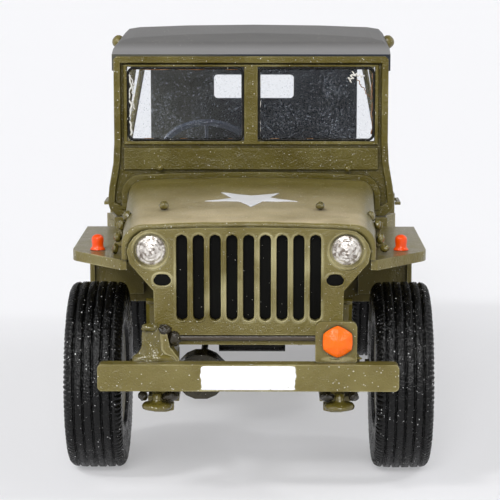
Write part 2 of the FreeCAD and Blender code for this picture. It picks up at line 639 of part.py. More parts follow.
def cowl():
    """Cowl between hood and tub: firewall, crowned top and the ledges beside it."""
    firewall = tub_plan(0, TUB_LOW, TUB_RAIL).common(
        box((-40, 40), (COWL_FRONT, COWL_FRONT + SKIN), (0, 60)))
    shelf = tub_plan(0, TUB_RAIL - SKIN, TUB_RAIL).common(box((-40, 40), (COWL_FRONT, COWL_REAR), (0, 60)))
    hollow = COWL_STATION[1] - SKIN
    shelf = shelf.cut(box((-hollow, hollow), (COWL_FRONT + SKIN, COWL_REAR + 1), (TUB_RAIL - 2, TUB_RAIL + 2)))
    hump = lofted(*[hood_section(*COWL_STATION, TUB_RAIL - 0.5, 0, y) for y in (COWL_FRONT, COWL_REAR)])
    inside = lofted(*[hood_section(*COWL_STATION, TUB_RAIL - 1.5, SKIN, y)
                      for y in (COWL_FRONT + SKIN, COWL_REAR + 1)])
    way = box((-COWL_HALF_W - 1, COWL_HALF_W + 1), (COWL_FRONT - 1, COWL_FRONT + SKIN + 0.2),
              (TUB_LOW - 1, RAIL_TOP + GLUE))
    return fused([firewall, shelf, hump.cut(inside)]).cut(way)


def body_tub():
    """Open steel tub behind the cowl: floor, sides with door cut-outs and wheel boxes."""
    start = COWL_FRONT + SKIN + GLUE
    ledge = TUB_RAIL - SKIN - GLUE
    walls = tub_plan(0, TUB_LOW, TUB_RAIL, start).cut(tub_plan(SKIN, TUB_LOW - 1, TUB_RAIL + 1, start - 1))
    walls = walls.cut(box((-40, 40), (start - 1, COWL_REAR + GLUE), (ledge, TUB_RAIL + 1)))
    floor_low = RAIL_TOP + GLUE
    floor = tub_plan(SKIN / 2, floor_low, floor_low + FLOOR_T, start)
    axle_y = WHEELBASE
    arch = [(axle_y - ARCH_HALF_L, TUB_LOW - 1), (axle_y - ARCH_HALF_L, ARCH_TOP - 6.0),
            (axle_y - ARCH_HALF_L + 5.0, ARCH_TOP, 2.0), (axle_y + ARCH_HALF_L - 5.0, ARCH_TOP, 2.0),
            (axle_y + ARCH_HALF_L, ARCH_TOP - 6.0), (axle_y + ARCH_HALF_L, TUB_LOW - 1)]
    grown = [(axle_y - ARCH_HALF_L - SKIN, floor_low), (axle_y - ARCH_HALF_L - SKIN, ARCH_TOP + SKIN),
             (axle_y + ARCH_HALF_L + SKIN, ARCH_TOP + SKIN), (axle_y + ARCH_HALF_L + SKIN, floor_low)]
    house = slab(grown, "yz", WHEELHOUSE_X, TUB_HALF_W - SKIN / 2).cut(
        slab([(axle_y - ARCH_HALF_L, TUB_LOW - 1), (axle_y - ARCH_HALF_L, ARCH_TOP),
              (axle_y + ARCH_HALF_L, ARCH_TOP), (axle_y + ARCH_HALF_L, TUB_LOW - 1)],
             "yz", WHEELHOUSE_X + SKIN, TUB_HALF_W + 1))
    wheel_way = slab(arch, "yz", WHEELHOUSE_X + SKIN, TUB_HALF_W + 1)
    floor_way = box((WHEELHOUSE_X + SKIN, TUB_HALF_W + 1),
                    (axle_y - ARCH_HALF_L, axle_y + ARCH_HALF_L), (TUB_LOW - 1, floor_low + 2))
    door = slab([(DOOR_FRONT, TUB_RAIL + 1), (DOOR_FRONT, 31.0, 2.5), (DOOR_FRONT + 3.4, DOOR_LOW, 3.0),
                 (DOOR_REAR - 3.4, DOOR_LOW, 3.0), (DOOR_REAR, 31.0, 2.5), (DOOR_REAR, TUB_RAIL + 1)],
                "yz", TUB_HALF_W - 3, TUB_HALF_W + 1)
    rail_way = RAIL_X + RAIL_W / 2 + 0.3
    rear_way = box((-rail_way, rail_way), (TUB_REAR - SKIN - 0.2, TUB_REAR + 1), (TUB_LOW - 1, floor_low))
    whole = fused([walls, floor, house, mirrored(house)])
    return whole.cut([wheel_way, mirrored(wheel_way), floor_way, mirrored(floor_way), door, mirrored(door), rear_way])


def dashboard():
    """Dash panel under the cowl, with five round dials and a low glove-box edge."""
    y = COWL_REAR - 0.9
    low = TUB_RAIL + GLUE
    panel = lofted(*[hood_section(*COWL_STATION, low, SKIN + GLUE, yy) for yy in (y - 0.8, y)])
    # dial positions across and up, and radius
    table = ((0.0, 40.4, 1.5), (-3.0, 41.0, 0.8), (3.0, 41.0, 0.8), (-3.0, 39.2, 0.8), (3.0, 39.2, 0.8))
    dials = [rod((x, y - 0.1, z), (x, y + 0.25, z), r) for x, z, r in table]
    return fused([panel] + dials)


def steering_wheel():
    """Three-spoke wheel, its column down to the firewall, and the hub nut."""
    x, y, z = -8.1, 45.0, 45.4
    tilt = math.radians(38)
    rim_r = 9.1
    axis = Vector(0, math.cos(tilt), math.sin(tilt))
    up = Vector(0, -math.sin(tilt), math.cos(tilt))
    centre = Vector(x, y, z)
    rim = rod(centre.sub(axis * 0.4), centre.add(axis * 0.4), rim_r, 24).cut(
        rod(centre.sub(axis), centre.add(axis), rim_r - 0.9, 24))
    parts = [rim, rod(centre.sub(axis * 0.8), centre.add(axis * 0.5), 1.0)]
    for angle in (90, 210, 330):
        turn = math.radians(angle)
        out = Vector(math.cos(turn), 0, 0).add(up * math.sin(turn))
        parts.append(rod(centre, centre.add(out * (rim_r - 0.4)), 0.35))
    length = (y - COWL_FRONT - SKIN) / math.cos(tilt) - 0.6
    parts.append(rod(centre, centre.sub(axis * length), 0.55))
    return fused(parts)


def seat_side(x, front, back, low, high, lean):
    """One flat side of a seat frame: two legs, a rail and the upright of the backrest."""
    floor = RAIL_TOP + 2 * GLUE + FLOOR_T
    bar = 0.9
    return slab([(front, floor), (front + bar, floor), (front + bar, low - bar), (back - bar, low - bar),
                 (back - bar, floor), (back, floor), (back, low - bar), (back + lean, high),
                 (back + lean - bar, high), (back - bar, low), (front, low)], "yz", x - bar / 2, x + bar / 2)


def seat(x):
    """Moulded seat: cushion and backrest between two bent-bar sides."""
    half = 8.0
    cushion = slab([(46.5, 30.2), (61.0, 29.4), (61.0, 31.8), (46.5, 33.0, 1.2)],
                   "yz", x - half + 0.7, x + half - 0.7)
    backrest = slab([(61.4, 33.6), (63.4, 33.6), (66.2, 46.4, 0.8), (64.2, 46.4, 0.8)],
                    "yz", x - half + 0.7, x + half - 0.7)
    sides = [seat_side(x + side * (half - 0.6), 47.0, 62.2, 31.6, 45.4, 3.4) for side in (-1, 1)]
    return fused([cushion, backrest] + sides)


def rear_bench():
    """Rear bench between the wheel boxes, cushion and backrest between two sides."""
    half = WHEELHOUSE_X - 0.8
    y = BENCH_Y
    cushion = slab([(y, 29.6), (y + 13, 29.0), (y + 13, 31.6), (y, 32.4, 1.2)], "yz", -half, half)
    backrest = slab([(y + 14, 33.4), (y + 16, 33.4), (y + 18.8, 43.6, 0.8), (y + 16.8, 43.6, 0.8)],
                    "yz", -half, half)
    sides = [seat_side(side * (half - 0.8), y + 1, y + 15, 31.0, 42.8, 3.2) for side in (-1, 1)]
    return fused([cushion, backrest] + sides)


def control_levers():
    """Gear lever and two transfer-case levers rising from the floor."""
    floor = RAIL_TOP + GLUE + FLOOR_T + GLUE
    levers = []
    # foot across and along, lean across and along, height of the knob
    for x, y, dx, dy, top in ((0.6, 36.0, -0.4, 6.0, 36.0), (2.9, 40.0, 0.4, 3.6, 31.0), (5.1, 40.0, 0.4, 3.2, 30.4)):
        end = (x + dx, y + dy, top)
        levers.append(fused([rod((x, y, floor + 0.3), end, 0.4), rod((x, y, floor), (x, y, floor + 0.5), 0.9),
                             rod(end, (end[0], end[1] + 0.3, top + 1.2), 0.75)]))
    return Part.makeCompound(levers)


def tail_lamps():
    """Two tail lamps on the rear panel."""
    y = TUB_REAR + GLUE
    x, z = 22.5, 30.5
    return pair(rod((x, y, z), (x, y + 1.2, z), 1.5))


def grab_handles():
    """Bent-bar handles on the sides and the rear corners of the tub."""
    handles = []
    x = TUB_HALF_W + GLUE
    for y in (DOOR_REAR + 2.9, TUB_REAR - 10.6):
        bar = slab([(x, y - 3.2), (x + 1.1, y - 3.2), (x + 1.1, y + 3.2), (x, y + 3.2), (x, y + 2.6),
                    (x + 0.5, y + 2.6), (x + 0.5, y - 2.6), (x, y - 2.6)],
                   "xy", TUB_RAIL - 2.1, TUB_RAIL - 1.5)
        handles += [bar, mirrored(bar)]
    return Part.makeCompound(handles)


# ---------------------------------------------------------------- windshield and top
def over_cowl(gap, low):
    """Outline of the cowl grown by a gap, from foot to foot: across, height."""
    return [(spot.x, spot.z) for spot in hood_section(*COWL_STATION, low, -gap, 0)]


def both_sides(half):
    """Right half of an outline, from its foot up, followed by its mirror image."""
    return half + [(-x, z) for x, z in reversed(half)]


def windshield_frame():
    """Windshield: a bar bent from foot to foot, a thin panel sunk in it with two framed
    openings and an apron, and a raised seal along the cowl."""
    front, back = SCREEN_Y - SCREEN_T / 2, SCREEN_Y + SCREEN_T / 2
    sunk, raised = SCREEN_Y + 0.1, SCREEN_Y - 0.45
    foot = TUB_RAIL + GLUE
    curl = foot + BAR_W
    half = SCREEN_HALF_W
    bar = [(half - 0.4, foot), (half + 0.9, foot + 1.2), (half + 1.2, foot + 2.4), (half + 0.95, 42.0),
           (half + 0.2, 46.2), (half, GLASS_LOW), (half, SCREEN_HIGH - 0.5), (half - 0.5, SCREEN_HIGH)]
    inner = [(x - BAR_W, z) for x, z in bar[2:6]] + [(half - BAR_W, SCREEN_HIGH - BAR_W)]
    whole = slab(over_cowl(SEAL_GAP, foot) + both_sides(bar), "xz", front, back)
    pocket = slab(over_cowl(0, curl) + both_sides(inner), "xz", front - 1, sunk)
    seal = slab(over_cowl(SEAL_GAP, curl) + over_cowl(SEAL_GAP + SEAL_W, curl)[::-1], "xz", front - 0.2, sunk + 0.1)
    edge = GLASS_OUT + 0.6
    frames = slab(both_sides([(edge, GLASS_LOW - 0.6), (edge, GLASS_HIGH + 0.4)]), "xz", raised, sunk + 0.1)
    apron = slab(both_sides([(edge, SCREEN_LOW + 0.3), (edge, GLASS_LOW - 1.2)]), "xz", raised, sunk + 0.1)
    openings = [slab(rectangle(side * GLASS_IN, side * GLASS_OUT, GLASS_LOW, GLASS_HIGH), "xz", front - 1, back + 1)
                for side in (-1, 1)]
    return fused([whole.cut(pocket), seal, frames, apron]).cut(openings)


def windshield_panes():
    """Two flat panes in the windshield frame."""
    panes = []
    for side in (-1, 1):
        x = sorted((side * (GLASS_IN + GLUE), side * (GLASS_OUT - GLUE)))
        panes.append(box(x, (SCREEN_Y - PANE_T / 2, SCREEN_Y + PANE_T / 2), (GLASS_LOW + GLUE, GLASS_HIGH - GLUE)))
    return Part.makeCompound(panes)


# half of the roof's section in shares of its half width: out from the middle, drop below the crown
TOP_SECTION = ((0.0, 0.0), (0.5, 0.006), (0.88, 0.020), (0.965, 0.034), (1.0, 0.070))


def top_section(half, inset, low, y):
    """Closed section of the roof at a place along the car."""
    edge = half - inset
    points = [(edge * a, TOP_Z - inset - edge * b) for a, b in TOP_SECTION] + [(edge, low)]
    spots = [Vector(-a, y, b) for a, b in reversed(points)] + [Vector(a, y, b) for a, b in points[1:]]
    return spots


def top_body(inset):
    """Solid shape of the soft top: its side view carried across, trimmed to its plan."""
    front = SCREEN_Y + SCREEN_T / 2 + GLUE
    back = TUB_REAR + 0.4
    low = TUB_RAIL + GLUE
    i = inset
    side = slab([(front - i, low - 2 * i), (front - i, SCREEN_HIGH + 0.3 - i), (45.0, TOP_Z - 0.9 - i),
                 (60.0, TOP_Z - i), (TOP_REAR - 3.0, TOP_Z - i), (TOP_REAR - i * 0.5, TOP_Z - 2.4 - i),
                 (back - i, TOP_Z - 9.3), (back - i, low - 2 * i)], "yz", -TOP_HALF_REAR - 1, TOP_HALF_REAR + 1)
    plan = lofted(*[top_section(half, i, low - 3, y)
                    for half, y in ((TOP_HALF_FRONT, front - 2), (TOP_HALF_REAR, back + 2))])
    return side.common(plan)


def canvas_top():
    """Soft top: crowned roof over the bows, turned down into a rear curtain."""
    shell = top_body(0).cut(top_body(TOP_T))
    front, back = SCREEN_Y - SCREEN_T, TUB_REAR + 2
    wide = TOP_HALF_REAR + 2
    open_side = slab([(front, SCREEN_HIGH - TOP_VALANCE), (TOP_REAR - 4.0, TOP_Z - TOP_VALANCE - 1.6, 1.0),
                      (TOP_REAR - 2.0, TUB_RAIL - 1), (front, TUB_RAIL - 1)], "yz", -wide, wide)
    corner = slab([(wide, TOP_Z - 4.6), (wide, TUB_RAIL - 1), (CURTAIN_HALF_W, TUB_RAIL - 1),
                   (CURTAIN_HALF_W, TOP_Z - 7.3, 2.4), (TOP_HALF_REAR - 1.2, TOP_Z - 4.6, 1.0)],
                  "xz", TOP_REAR - 6, back)
    window = slab([(-WINDOW_HALF_W, WINDOW_LOW, 0.8), (WINDOW_HALF_W, WINDOW_LOW, 0.8),
                   (WINDOW_HALF_W, WINDOW_HIGH, 0.8), (-WINDOW_HALF_W, WINDOW_HIGH, 0.8)],
                  "xz", TOP_REAR - 6, back)
    return shell.cut([open_side, corner, mirrored(corner), window])


def top_bows():
    """Two hoops of tube that carry the soft top, standing on the tub's rail."""
    hoops = []
    # foot and crown of each hoop, from the rear axle
    for foot, top in ((-14.7, -24.7), (3.3, 7.3)):
        foot_y, top_y = WHEELBASE + foot, WHEELBASE + top
        foot_z = TUB_RAIL + GLUE + 1.2 * BOW_R
        x = TUB_HALF_W - SKIN / 2
        crown = TOP_Z - TOP_T - 1.6 - BOW_R - 0.5
        corner = TOP_HALF_FRONT - TOP_T - BOW_R - 0.3
        drop = 2.2
        hoops.append(rods([(-x, foot_y, foot_z), (-corner, top_y, crown - drop), (-corner + drop, top_y, crown),
                           (corner - drop, top_y, crown), (corner, top_y, crown - drop), (x, foot_y, foot_z)], BOW_R))
    return Part.makeCompound(hoops)


# ---------------------------------------------------------------- wheels
DISC_OUT = 1.2             # outer face of a wheel's disc, outward from its middle
CAP_OUT, CAP_R = 4.0, 2.3  # hub cap
BORE_OUT = 1.1             # blind end of the spindle's bore
SPARE_DISC_IN, SPARE_DISC_OUT = 1.0, 2.0
HUB_HOLE_R = 1.4           # the spare has a plain hole in place of drum and cap


def wheel_drum(centre, outward, low, high, radius):
    """Drum about a wheel's axis, drawn with the wheel's flats."""
    return rod(centre.add(outward * low), centre.add(outward * high), radius, WHEEL_FLATS)


def rim(centre, outward):
    """Pressed steel wheel: bead seat, sunk disc, hub cap and the spindle's blind bore."""
    seat = wheel_drum(centre, outward, -RIM_HALF_W, RIM_HALF_W, RIM_R - GLUE)
    well = wheel_drum(centre, outward, DISC_OUT, RIM_HALF_W + 1, RIM_R - RIM_WALL)
    cap = rod(centre.add(outward * (DISC_OUT - 0.5)), centre.add(outward * CAP_OUT), CAP_R, 12)
    bore = drum(centre.sub(outward * (RIM_HALF_W + 1)), centre.add(outward * BORE_OUT), SPINDLE_R + RUN)
    return fused([seat.cut(well), cap]).cut(bore)


def spare_rim(centre, outward):
    """The same steel wheel without drum and cap: a disc open on both sides."""
    seat = wheel_drum(centre, outward, -RIM_HALF_W, RIM_HALF_W, RIM_R - GLUE)
    wells = [wheel_drum(centre, outward, SPARE_DISC_OUT, RIM_HALF_W + 1, RIM_R - RIM_WALL),
             wheel_drum(centre, outward, -RIM_HALF_W - 1, SPARE_DISC_IN, RIM_R - RIM_WALL),
             rod(centre, centre.add(outward * (SPARE_DISC_OUT + 1)), HUB_HOLE_R)]
    return seat.cut(wells)


def tyre(centre, outward):
    """Tyre: a ring that sits on the rim's bead seat, with its flats on the ground."""
    whole = wheel_drum(centre, outward, -TYRE_HALF_W, TYRE_HALF_W, TYRE_R / math.cos(math.pi / WHEEL_FLATS))
    return whole.cut(wheel_drum(centre, outward, -TYRE_HALF_W - 1, TYRE_HALF_W + 1, RIM_R))


# wheel stations: name, side, distance behind the front axle
WHEELS = (("front_left", 1, 0.0), ("front_right", -1, 0.0), ("rear_left", 1, WHEELBASE), ("rear_right", -1, WHEELBASE))


def spare_carrier():
    """Cup on the rear panel that the spare wheel is bolted to, with its hub bolt."""
    y = TUB_REAR + GLUE
    centre = Vector(SPARE_X, y, SPARE_Z)
    disc = SPARE_CARRIER + TYRE_HALF_W + SPARE_DISC_IN - 2 * GLUE
    out = Vector(0, 1, 0)
    foot = box((SPARE_X - 4.0, SPARE_X + 4.0), (y, y + 0.8), (SPARE_Z - 4.0, TUB_RAIL - 0.2))
    post = rod(centre, centre.add(out * disc), 1.5)
    bolt = rod(centre, centre.add(out * (disc + SPARE_DISC_OUT - SPARE_DISC_IN + 1.0)), HUB_HOLE_R - 0.1)
    return fused([foot, post, bolt])


# ---------------------------------------------------------------- pieces
os.makedirs("parts", exist_ok=True)
save("chassis_frame", chassis_frame())
save("front_bumper", front_bumper())
save("rear_bumperettes", rear_bumperettes())
save("tow_hitch", tow_hitch())
save("front_axle", axle(0.0, 1, True))
save("rear_axle", axle(WHEELBASE, -1, False))
save("tie_rod", tie_rod())
save("front_springs", leaf_springs(0.0, 16.6, hangers=True))
save("rear_springs", leaf_springs(WHEELBASE, 18.0))
save("shock_absorbers", shock_absorbers())
save("engine_gearbox", engine_gearbox())
save("prop_shafts", prop_shafts())
save("exhaust", exhaust())
save("skid_plate", skid_plate())
save("radiator", radiator())
save("grille", grille())
save("headlamps", headlamps())
save("headlamp_lenses", headlamp_lenses())
save("hood", hood())
save("hood_blocks", hood_blocks())
save("hood_catches", hood_catches())
save("fender_left", fender(1))
save("fender_right", fender(-1))
save("fender_lamps", fender_lamps())
save("signal_lamp_stand", signal_lamp_stand())
save("signal_lamp", signal_lamp())
save("cowl", cowl())
save("body_tub", body_tub())
save("dashboard", dashboard())
save("windshield_frame", windshield_frame())
save("windshield_panes", windshield_panes())
save("canvas_top", canvas_top())
save("top_bows", top_bows())
save("driver_seat", seat(-SEAT_X))
save("passenger_seat", seat(SEAT_X))
save("rear_bench", rear_bench())
save("steering_wheel", steering_wheel())
save("control_levers", control_levers())
save("tail_lamps", tail_lamps())
save("grab_handles", grab_handles())
save("spare_carrier", spare_carrier())
for name, side, y in WHEELS:
    centre = Vector(side * WHEEL_X, y, TYRE_R)
    save("rim_" + name, rim(centre, Vector(side, 0, 0)))
    save("tyre_" + name, tyre(centre, Vector(side, 0, 0)))
spare_centre = Vector(SPARE_X, TUB_REAR + SPARE_CARRIER + TYRE_HALF_W, SPARE_Z)
save("spare_rim", spare_rim(spare_centre, Vector(0, 1, 0)))
save("spare_tyre", tyre(spare_centre, Vector(0, 1, 0)))
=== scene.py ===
import math

import bpy
import numpy as np
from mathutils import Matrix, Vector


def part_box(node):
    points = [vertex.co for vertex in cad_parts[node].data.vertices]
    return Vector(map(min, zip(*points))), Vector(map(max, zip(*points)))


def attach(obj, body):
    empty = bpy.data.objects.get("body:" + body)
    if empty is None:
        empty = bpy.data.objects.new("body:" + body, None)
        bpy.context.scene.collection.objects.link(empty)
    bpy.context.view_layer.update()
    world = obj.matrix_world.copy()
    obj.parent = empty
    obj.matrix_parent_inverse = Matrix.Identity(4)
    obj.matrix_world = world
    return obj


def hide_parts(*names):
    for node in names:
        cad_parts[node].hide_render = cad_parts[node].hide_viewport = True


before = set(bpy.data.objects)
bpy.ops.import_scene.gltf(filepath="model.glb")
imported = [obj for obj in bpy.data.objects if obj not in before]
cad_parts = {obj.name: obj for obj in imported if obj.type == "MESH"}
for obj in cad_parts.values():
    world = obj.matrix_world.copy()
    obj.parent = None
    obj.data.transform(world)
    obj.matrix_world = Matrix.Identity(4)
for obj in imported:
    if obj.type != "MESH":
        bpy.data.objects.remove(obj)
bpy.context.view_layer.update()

# ================================================================ table and light tent
# A pale seamless sheet under the model, swept up far away all round, in a tent that is lit
# from its sides, so brightest low down.  A wide lamp lights the front, and small ones make
# sharp glints.
MM = 0.001        # lengths are in millimetres, but for those of the sheet, which are in metres
SHEET_R, FLAT_R, SWEPT_UP = 12.0, 6.0, 1.8        # the sheet, its flat middle and its rise
SHEET_COLOUR, GLOW_COLOUR = (0.90, 0.90, 0.925), (0.98, 0.98, 1.0)
# what the eye sees of the sheet: a share of its light and shade, and a pale glow of its own
SHEET_SHARE, SHEET_GLOW = 0.58, 0.33
TENT_COLOUR = (0.99, 0.99, 1.0)
# each patch of the tent: where its middle lies, cosine at its border and at its middle, and
# the brightness there; the first runs from overhead down to the table
TENT_PATCHES = (((0, 0, 1), 0.80, 0.15, 0.16, 0.62), ((-0.80, -0.20, 0.56), 0.86, 0.95, 0.0, 1.5),
                ((0.76, 0.30, 0.58), 0.88, 0.96, 0.0, 1.2), ((0, -0.98, 0.2), 0.70, 0.98, 0.0, -0.30))
# lamps: strength, angle across in degrees, tilt towards the eye and to the left in degrees
LAMPS = (("front_lamp", 2.25, 26.0, 60.0, -8.0), ("small_left_lamp", 0.75, 9.0, 27.0, -36.0),
         ("small_right_lamp", 0.45, 9.0, 8.0, 42.0))


def grid(first, second):
    """Two arrays of parameters spread over a grid: the first over u, the second over v."""
    return np.meshgrid(first, second, indexing="ij")


def circle(steps):
    """Angles once round, without the last, which would be the first again."""
    return np.linspace(0, 2 * np.pi, steps, endpoint=False)


def grid_piece(name, points, close_u=False, close_v=False, caps=False, flip=False):
    """A surface from an array of points over u and v: each cell of the grid is one four-sided
    face, a closed direction joins its last row to its first, and caps close both u ends."""
    nu, nv = points.shape[:2]
    iu, iv = grid(np.arange(nu if close_u else nu - 1), np.arange(nv if close_v else nv - 1))
    ju, jv = (iu + 1) % nu, (iv + 1) % nv
    quads = np.stack([iu * nv + iv, ju * nv + iv, ju * nv + jv, iu * nv + jv], axis=-1).reshape(-1, 4)
    faces = (quads[:, ::-1] if flip else quads).tolist()
    if caps:
        first, last = list(range(nv)), list(range((nu - 1) * nv, nu * nv))
        faces += [first[::-1], last] if flip else [first, last[::-1]]
    mesh = bpy.data.meshes.new(name)
    mesh.from_pydata(points.reshape(-1, 3).tolist(), [], faces)
    mesh.polygons.foreach_set("use_smooth", [len(face) == 4 for face in faces])
    mesh.update()
    piece = bpy.data.objects.new(name, mesh)
    bpy.context.scene.collection.objects.link(piece)
    return piece


def connect(tree, node, values):
    """Fills a node's inputs, given by name or number: another node's output is linked in, and
    a plain number or vector is set; a colour gets its alpha of 1."""
    for label, value in values.items():
        socket = node.inputs[label]
        if isinstance(value, bpy.types.NodeSocket):
            tree.links.new(value, socket)
        else:
            socket.default_value = (*value, 1) if socket.type == "RGBA" else value


def add_node(tree, kind, values, **options):
    """A shader node with its options and its inputs; returns its outputs."""
    node = tree.nodes.new("ShaderNode" + kind)
    for option, value in options.items():
        setattr(node, option, value)
    connect(tree, node, values)
    return node.outputs


def math_node(tree, operation, *terms):
    """One Math node on outputs or plain numbers; returns its output."""
    return add_node(tree, "Math", dict(enumerate(terms)), operation=operation)[0]


def remap(tree, value, low, high, to_low=0.0, to_high=1.0, curve="LINEAR"):
    """A value between low and high, stretched to another range and held inside it."""
    values = {"Value": value, "From Min": low, "From Max": high, "To Min": to_low, "To Max": to_high}
    return add_node(tree, "MapRange", values, interpolation_type=curve)["Result"]


def mix(tree, share, first, second):
    """The first colour where the share is 0, the second where it is 1."""
    return add_node(tree, "Mix", {"Factor": share, "A": first, "B": second}, data_type="RGBA")["Result"]


def new_material(name, colour, roughness, **more):
    """A material with a plain colour; more sets other inputs, with _ for each space.  Returns
    it with its tree and its shader."""
    material = bpy.data.materials.new(name)
    material.use_nodes = True
    tree, shader = material.node_tree, material.node_tree.nodes["Principled BSDF"]
    connect(tree, shader, {"Base Color": colour, "Roughness": roughness})
    connect(tree, shader, {label.replace("_", " "): value for label, value in more.items()})
    return material, tree, shader


out, turn = grid(np.linspace(0, SHEET_R, 49), circle(96))
swept = SWEPT_UP * (np.clip(out - FLAT_R, 0, None) / (SHEET_R - FLAT_R)) ** 2
sheet = grid_piece("table_sheet", np.stack([out * np.cos(turn), out * np.sin(turn), swept], axis=-1),
                   close_v=True)
pale_sheet, sheet_tree, sheet_shader = new_material("pale_sheet", SHEET_COLOUR, 1.0)
rays = add_node(sheet_tree, "LightPath", {})
seen = rays["Is Camera Ray"]
for kind in ("Is Glossy Ray", "Is Transmission Ray"):
    seen = math_node(sheet_tree, "MAXIMUM", seen, rays[kind])
connect(sheet_tree, sheet_shader, {
    "Base Color": mix(sheet_tree, seen, SHEET_COLOUR, SHEET_SHARE * np.array(SHEET_COLOUR)),
    "Emission Color": GLOW_COLOUR,
    "Emission Strength": math_node(sheet_tree, "MULTIPLY", seen, SHEET_GLOW)})
sheet.data.materials.append(pale_sheet)

world = bpy.data.worlds.new("tent")
bpy.context.scene.world = world
world.use_nodes = True
tent = world.node_tree
direction = add_node(tent, "TexCoord", {})["Generated"]
brightness = None
for middle, border, centre, at_border, at_centre in TENT_PATCHES:
    towards = add_node(tent, "VectorMath", {0: direction, 1: middle}, operation="DOT_PRODUCT")["Value"]
    patch = remap(tent, towards, border, centre, at_border, at_centre, "SMOOTHSTEP")
    brightness = patch if brightness is None else math_node(tent, "ADD", brightness, patch)
connect(tent, tent.nodes["Background"], {"Color": TENT_COLOUR, "Strength": brightness})

for label, strength, across, forward, left in LAMPS:
    lamp = bpy.data.lights.new(label, "SUN")
    lamp.energy, lamp.angle = strength, math.radians(across)
    stand = bpy.data.objects.new(label, lamp)
    stand.rotation_euler = (math.radians(forward), math.radians(left), 0)
    bpy.context.scene.collection.objects.link(stand)

# The eye stands ahead of the bumper, a little above the soft top, and looks slightly down.
EYE_LEFT, EYE_AHEAD, EYE_UP = 2.7, 300, 83.4       # ahead of the front axle
EYE_DOWN, EYE_TURN, EYE_LENS = 9.1, 0.5, 136.3     # two angles in degrees, and the lens
front_tyre_low, front_tyre_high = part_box("tyre_front_left")
axle_y = (front_tyre_low[1] + front_tyre_high[1]) / 2
eye = bpy.data.cameras.new("eye")
eye.sensor_width, eye.lens, eye.clip_start = 36, EYE_LENS, 0.01
eye_stand = bpy.data.objects.new("eye", eye)
eye_stand.location = (EYE_LEFT * MM, axle_y - EYE_AHEAD * MM, EYE_UP * MM)
eye_stand.rotation_euler = (math.radians(90 - EYE_DOWN), 0, math.radians(EYE_TURN))
bpy.context.scene.collection.objects.link(eye_stand)
bpy.context.scene.camera = eye_stand
bpy.context.scene.view_settings.view_transform = "Standard"

# ================================================================ frame and body plates
# The frame, axles and body are styrene mouldings, cemented together and brushed with olive
# drab enamel: glossy where it lies thick, with brush lumps and grit caught in the wet coat.
OLIVE, OLIVE_PALE = (0.112, 0.088, 0.015), (0.150, 0.124, 0.032)
# colour of grit, and of edges that are worn and carry a painted highlight
DUST, WORN_LIT_EDGE = (0.55, 0.53, 0.46), (0.40, 0.36, 0.19)
DRIFT_FROM, DRIFT_TO = 0.38, 0.70         # where the drift from colour to paler colour lies
SPECK_BEND, SPECK_HEIGHT = 0.2, 0.12      # how far specks are bent, and how high they stand
CORNER_REACH, CORNER_SHADE = 0.6, 0.25    # how far the painted shade in corners reaches, and how dark it is
EDGE_REACH = 0.26                         # how far a pale edge reaches, worn and with a painted highlight
WELD, ROUND_FROM = 0.005, 28              # points so near are joined; degrees of a sharp fold
WHEELS = ("front_left", "front_right", "rear_left", "rear_right")
# olive and black mouldings by the rounding of their edges
OLIVE_PIECES = {
    0.08: ("front_springs", "rear_springs", "headlamps"),
    0.10: ("skid_plate", "dashboard", "top_bows", "grab_handles", "spare_carrier", "spare_rim",
           *("rim_" + wheel for wheel in WHEELS)),
    0.12: ("chassis_frame", "body_tub"),
    0.15: ("cowl", "hood_blocks", "hood_catches"),
    0.20: ("rear_bumperettes", "grille", "signal_lamp_stand"),
    0.35: ("front_bumper",),
    0.55: ("fender_left", "fender_right")}
BLACK_PIECES = {0.08: ("prop_shafts", "control_levers"), 0.10: ("tow_hitch", "rear_axle", "exhaust"),
                0.15: ("tail_lamps",), 0.20: ("engine_gearbox",)}


def node_group(name, inputs, outputs):
    """An empty node group with plain numbers as inputs, by name and value, and as outputs;
    returns it with what it is given and the node for its results."""
    group = bpy.data.node_groups.new(name, "ShaderNodeTree")
    for label, value in inputs.items():
        socket = group.interface.new_socket(label, in_out="INPUT", socket_type="NodeSocketFloat")
        socket.default_value = value
    for label in outputs:
        group.interface.new_socket(label, in_out="OUTPUT", socket_type="NodeSocketFloat")
    return group, group.nodes.new("NodeGroupInput").outputs, group.nodes.new("NodeGroupOutput")


def place_in(tree, kind="Object"):
    """The place on the piece; with Normal instead, the way that its surface looks."""
    return add_node(tree, "TexCoord", {})[kind]


def noise(tree, place, scale, detail):
    """The value of a noise texture at a place."""
    return add_node(tree, "TexNoise", {"Vector": place, "Scale": scale, "Detail": detail})["Fac"]


def specks_group():
    """Grit caught in paint: a cell of a fine lattice holds a speck where its random colour is
    below the share asked for; its radius, as a share of the cell, is random too, and a noise
    bends the lattice so that specks are not round."""
    group, given, result = node_group("specks", {"Size": 4600.0, "Share": 0.06}, ["Mask"])
    place = place_in(group)
    sway = add_node(group, "TexNoise", {"Vector": place, "Scale": 5200.0})["Color"]
    bent = add_node(group, "VectorMath", {0: sway, 1: (SPECK_BEND * MM,) * 3, 2: place},
                    operation="MULTIPLY_ADD")[0]
    cells = add_node(group, "TexVoronoi", {"Vector": bent, "Scale": given["Size"]})
    chance = add_node(group, "SeparateColor", {"Color": cells["Color"]})
    reach = math_node(group, "MULTIPLY_ADD", chance["Green"], 0.35, 0.10)
    near = math_node(group, "LESS_THAN", cells["Distance"], reach)
    picked = math_node(group, "LESS_THAN", chance["Red"], given["Share"])
    connect(group, result, {"Mask": math_node(group, "MULTIPLY", near, picked)})
    return group


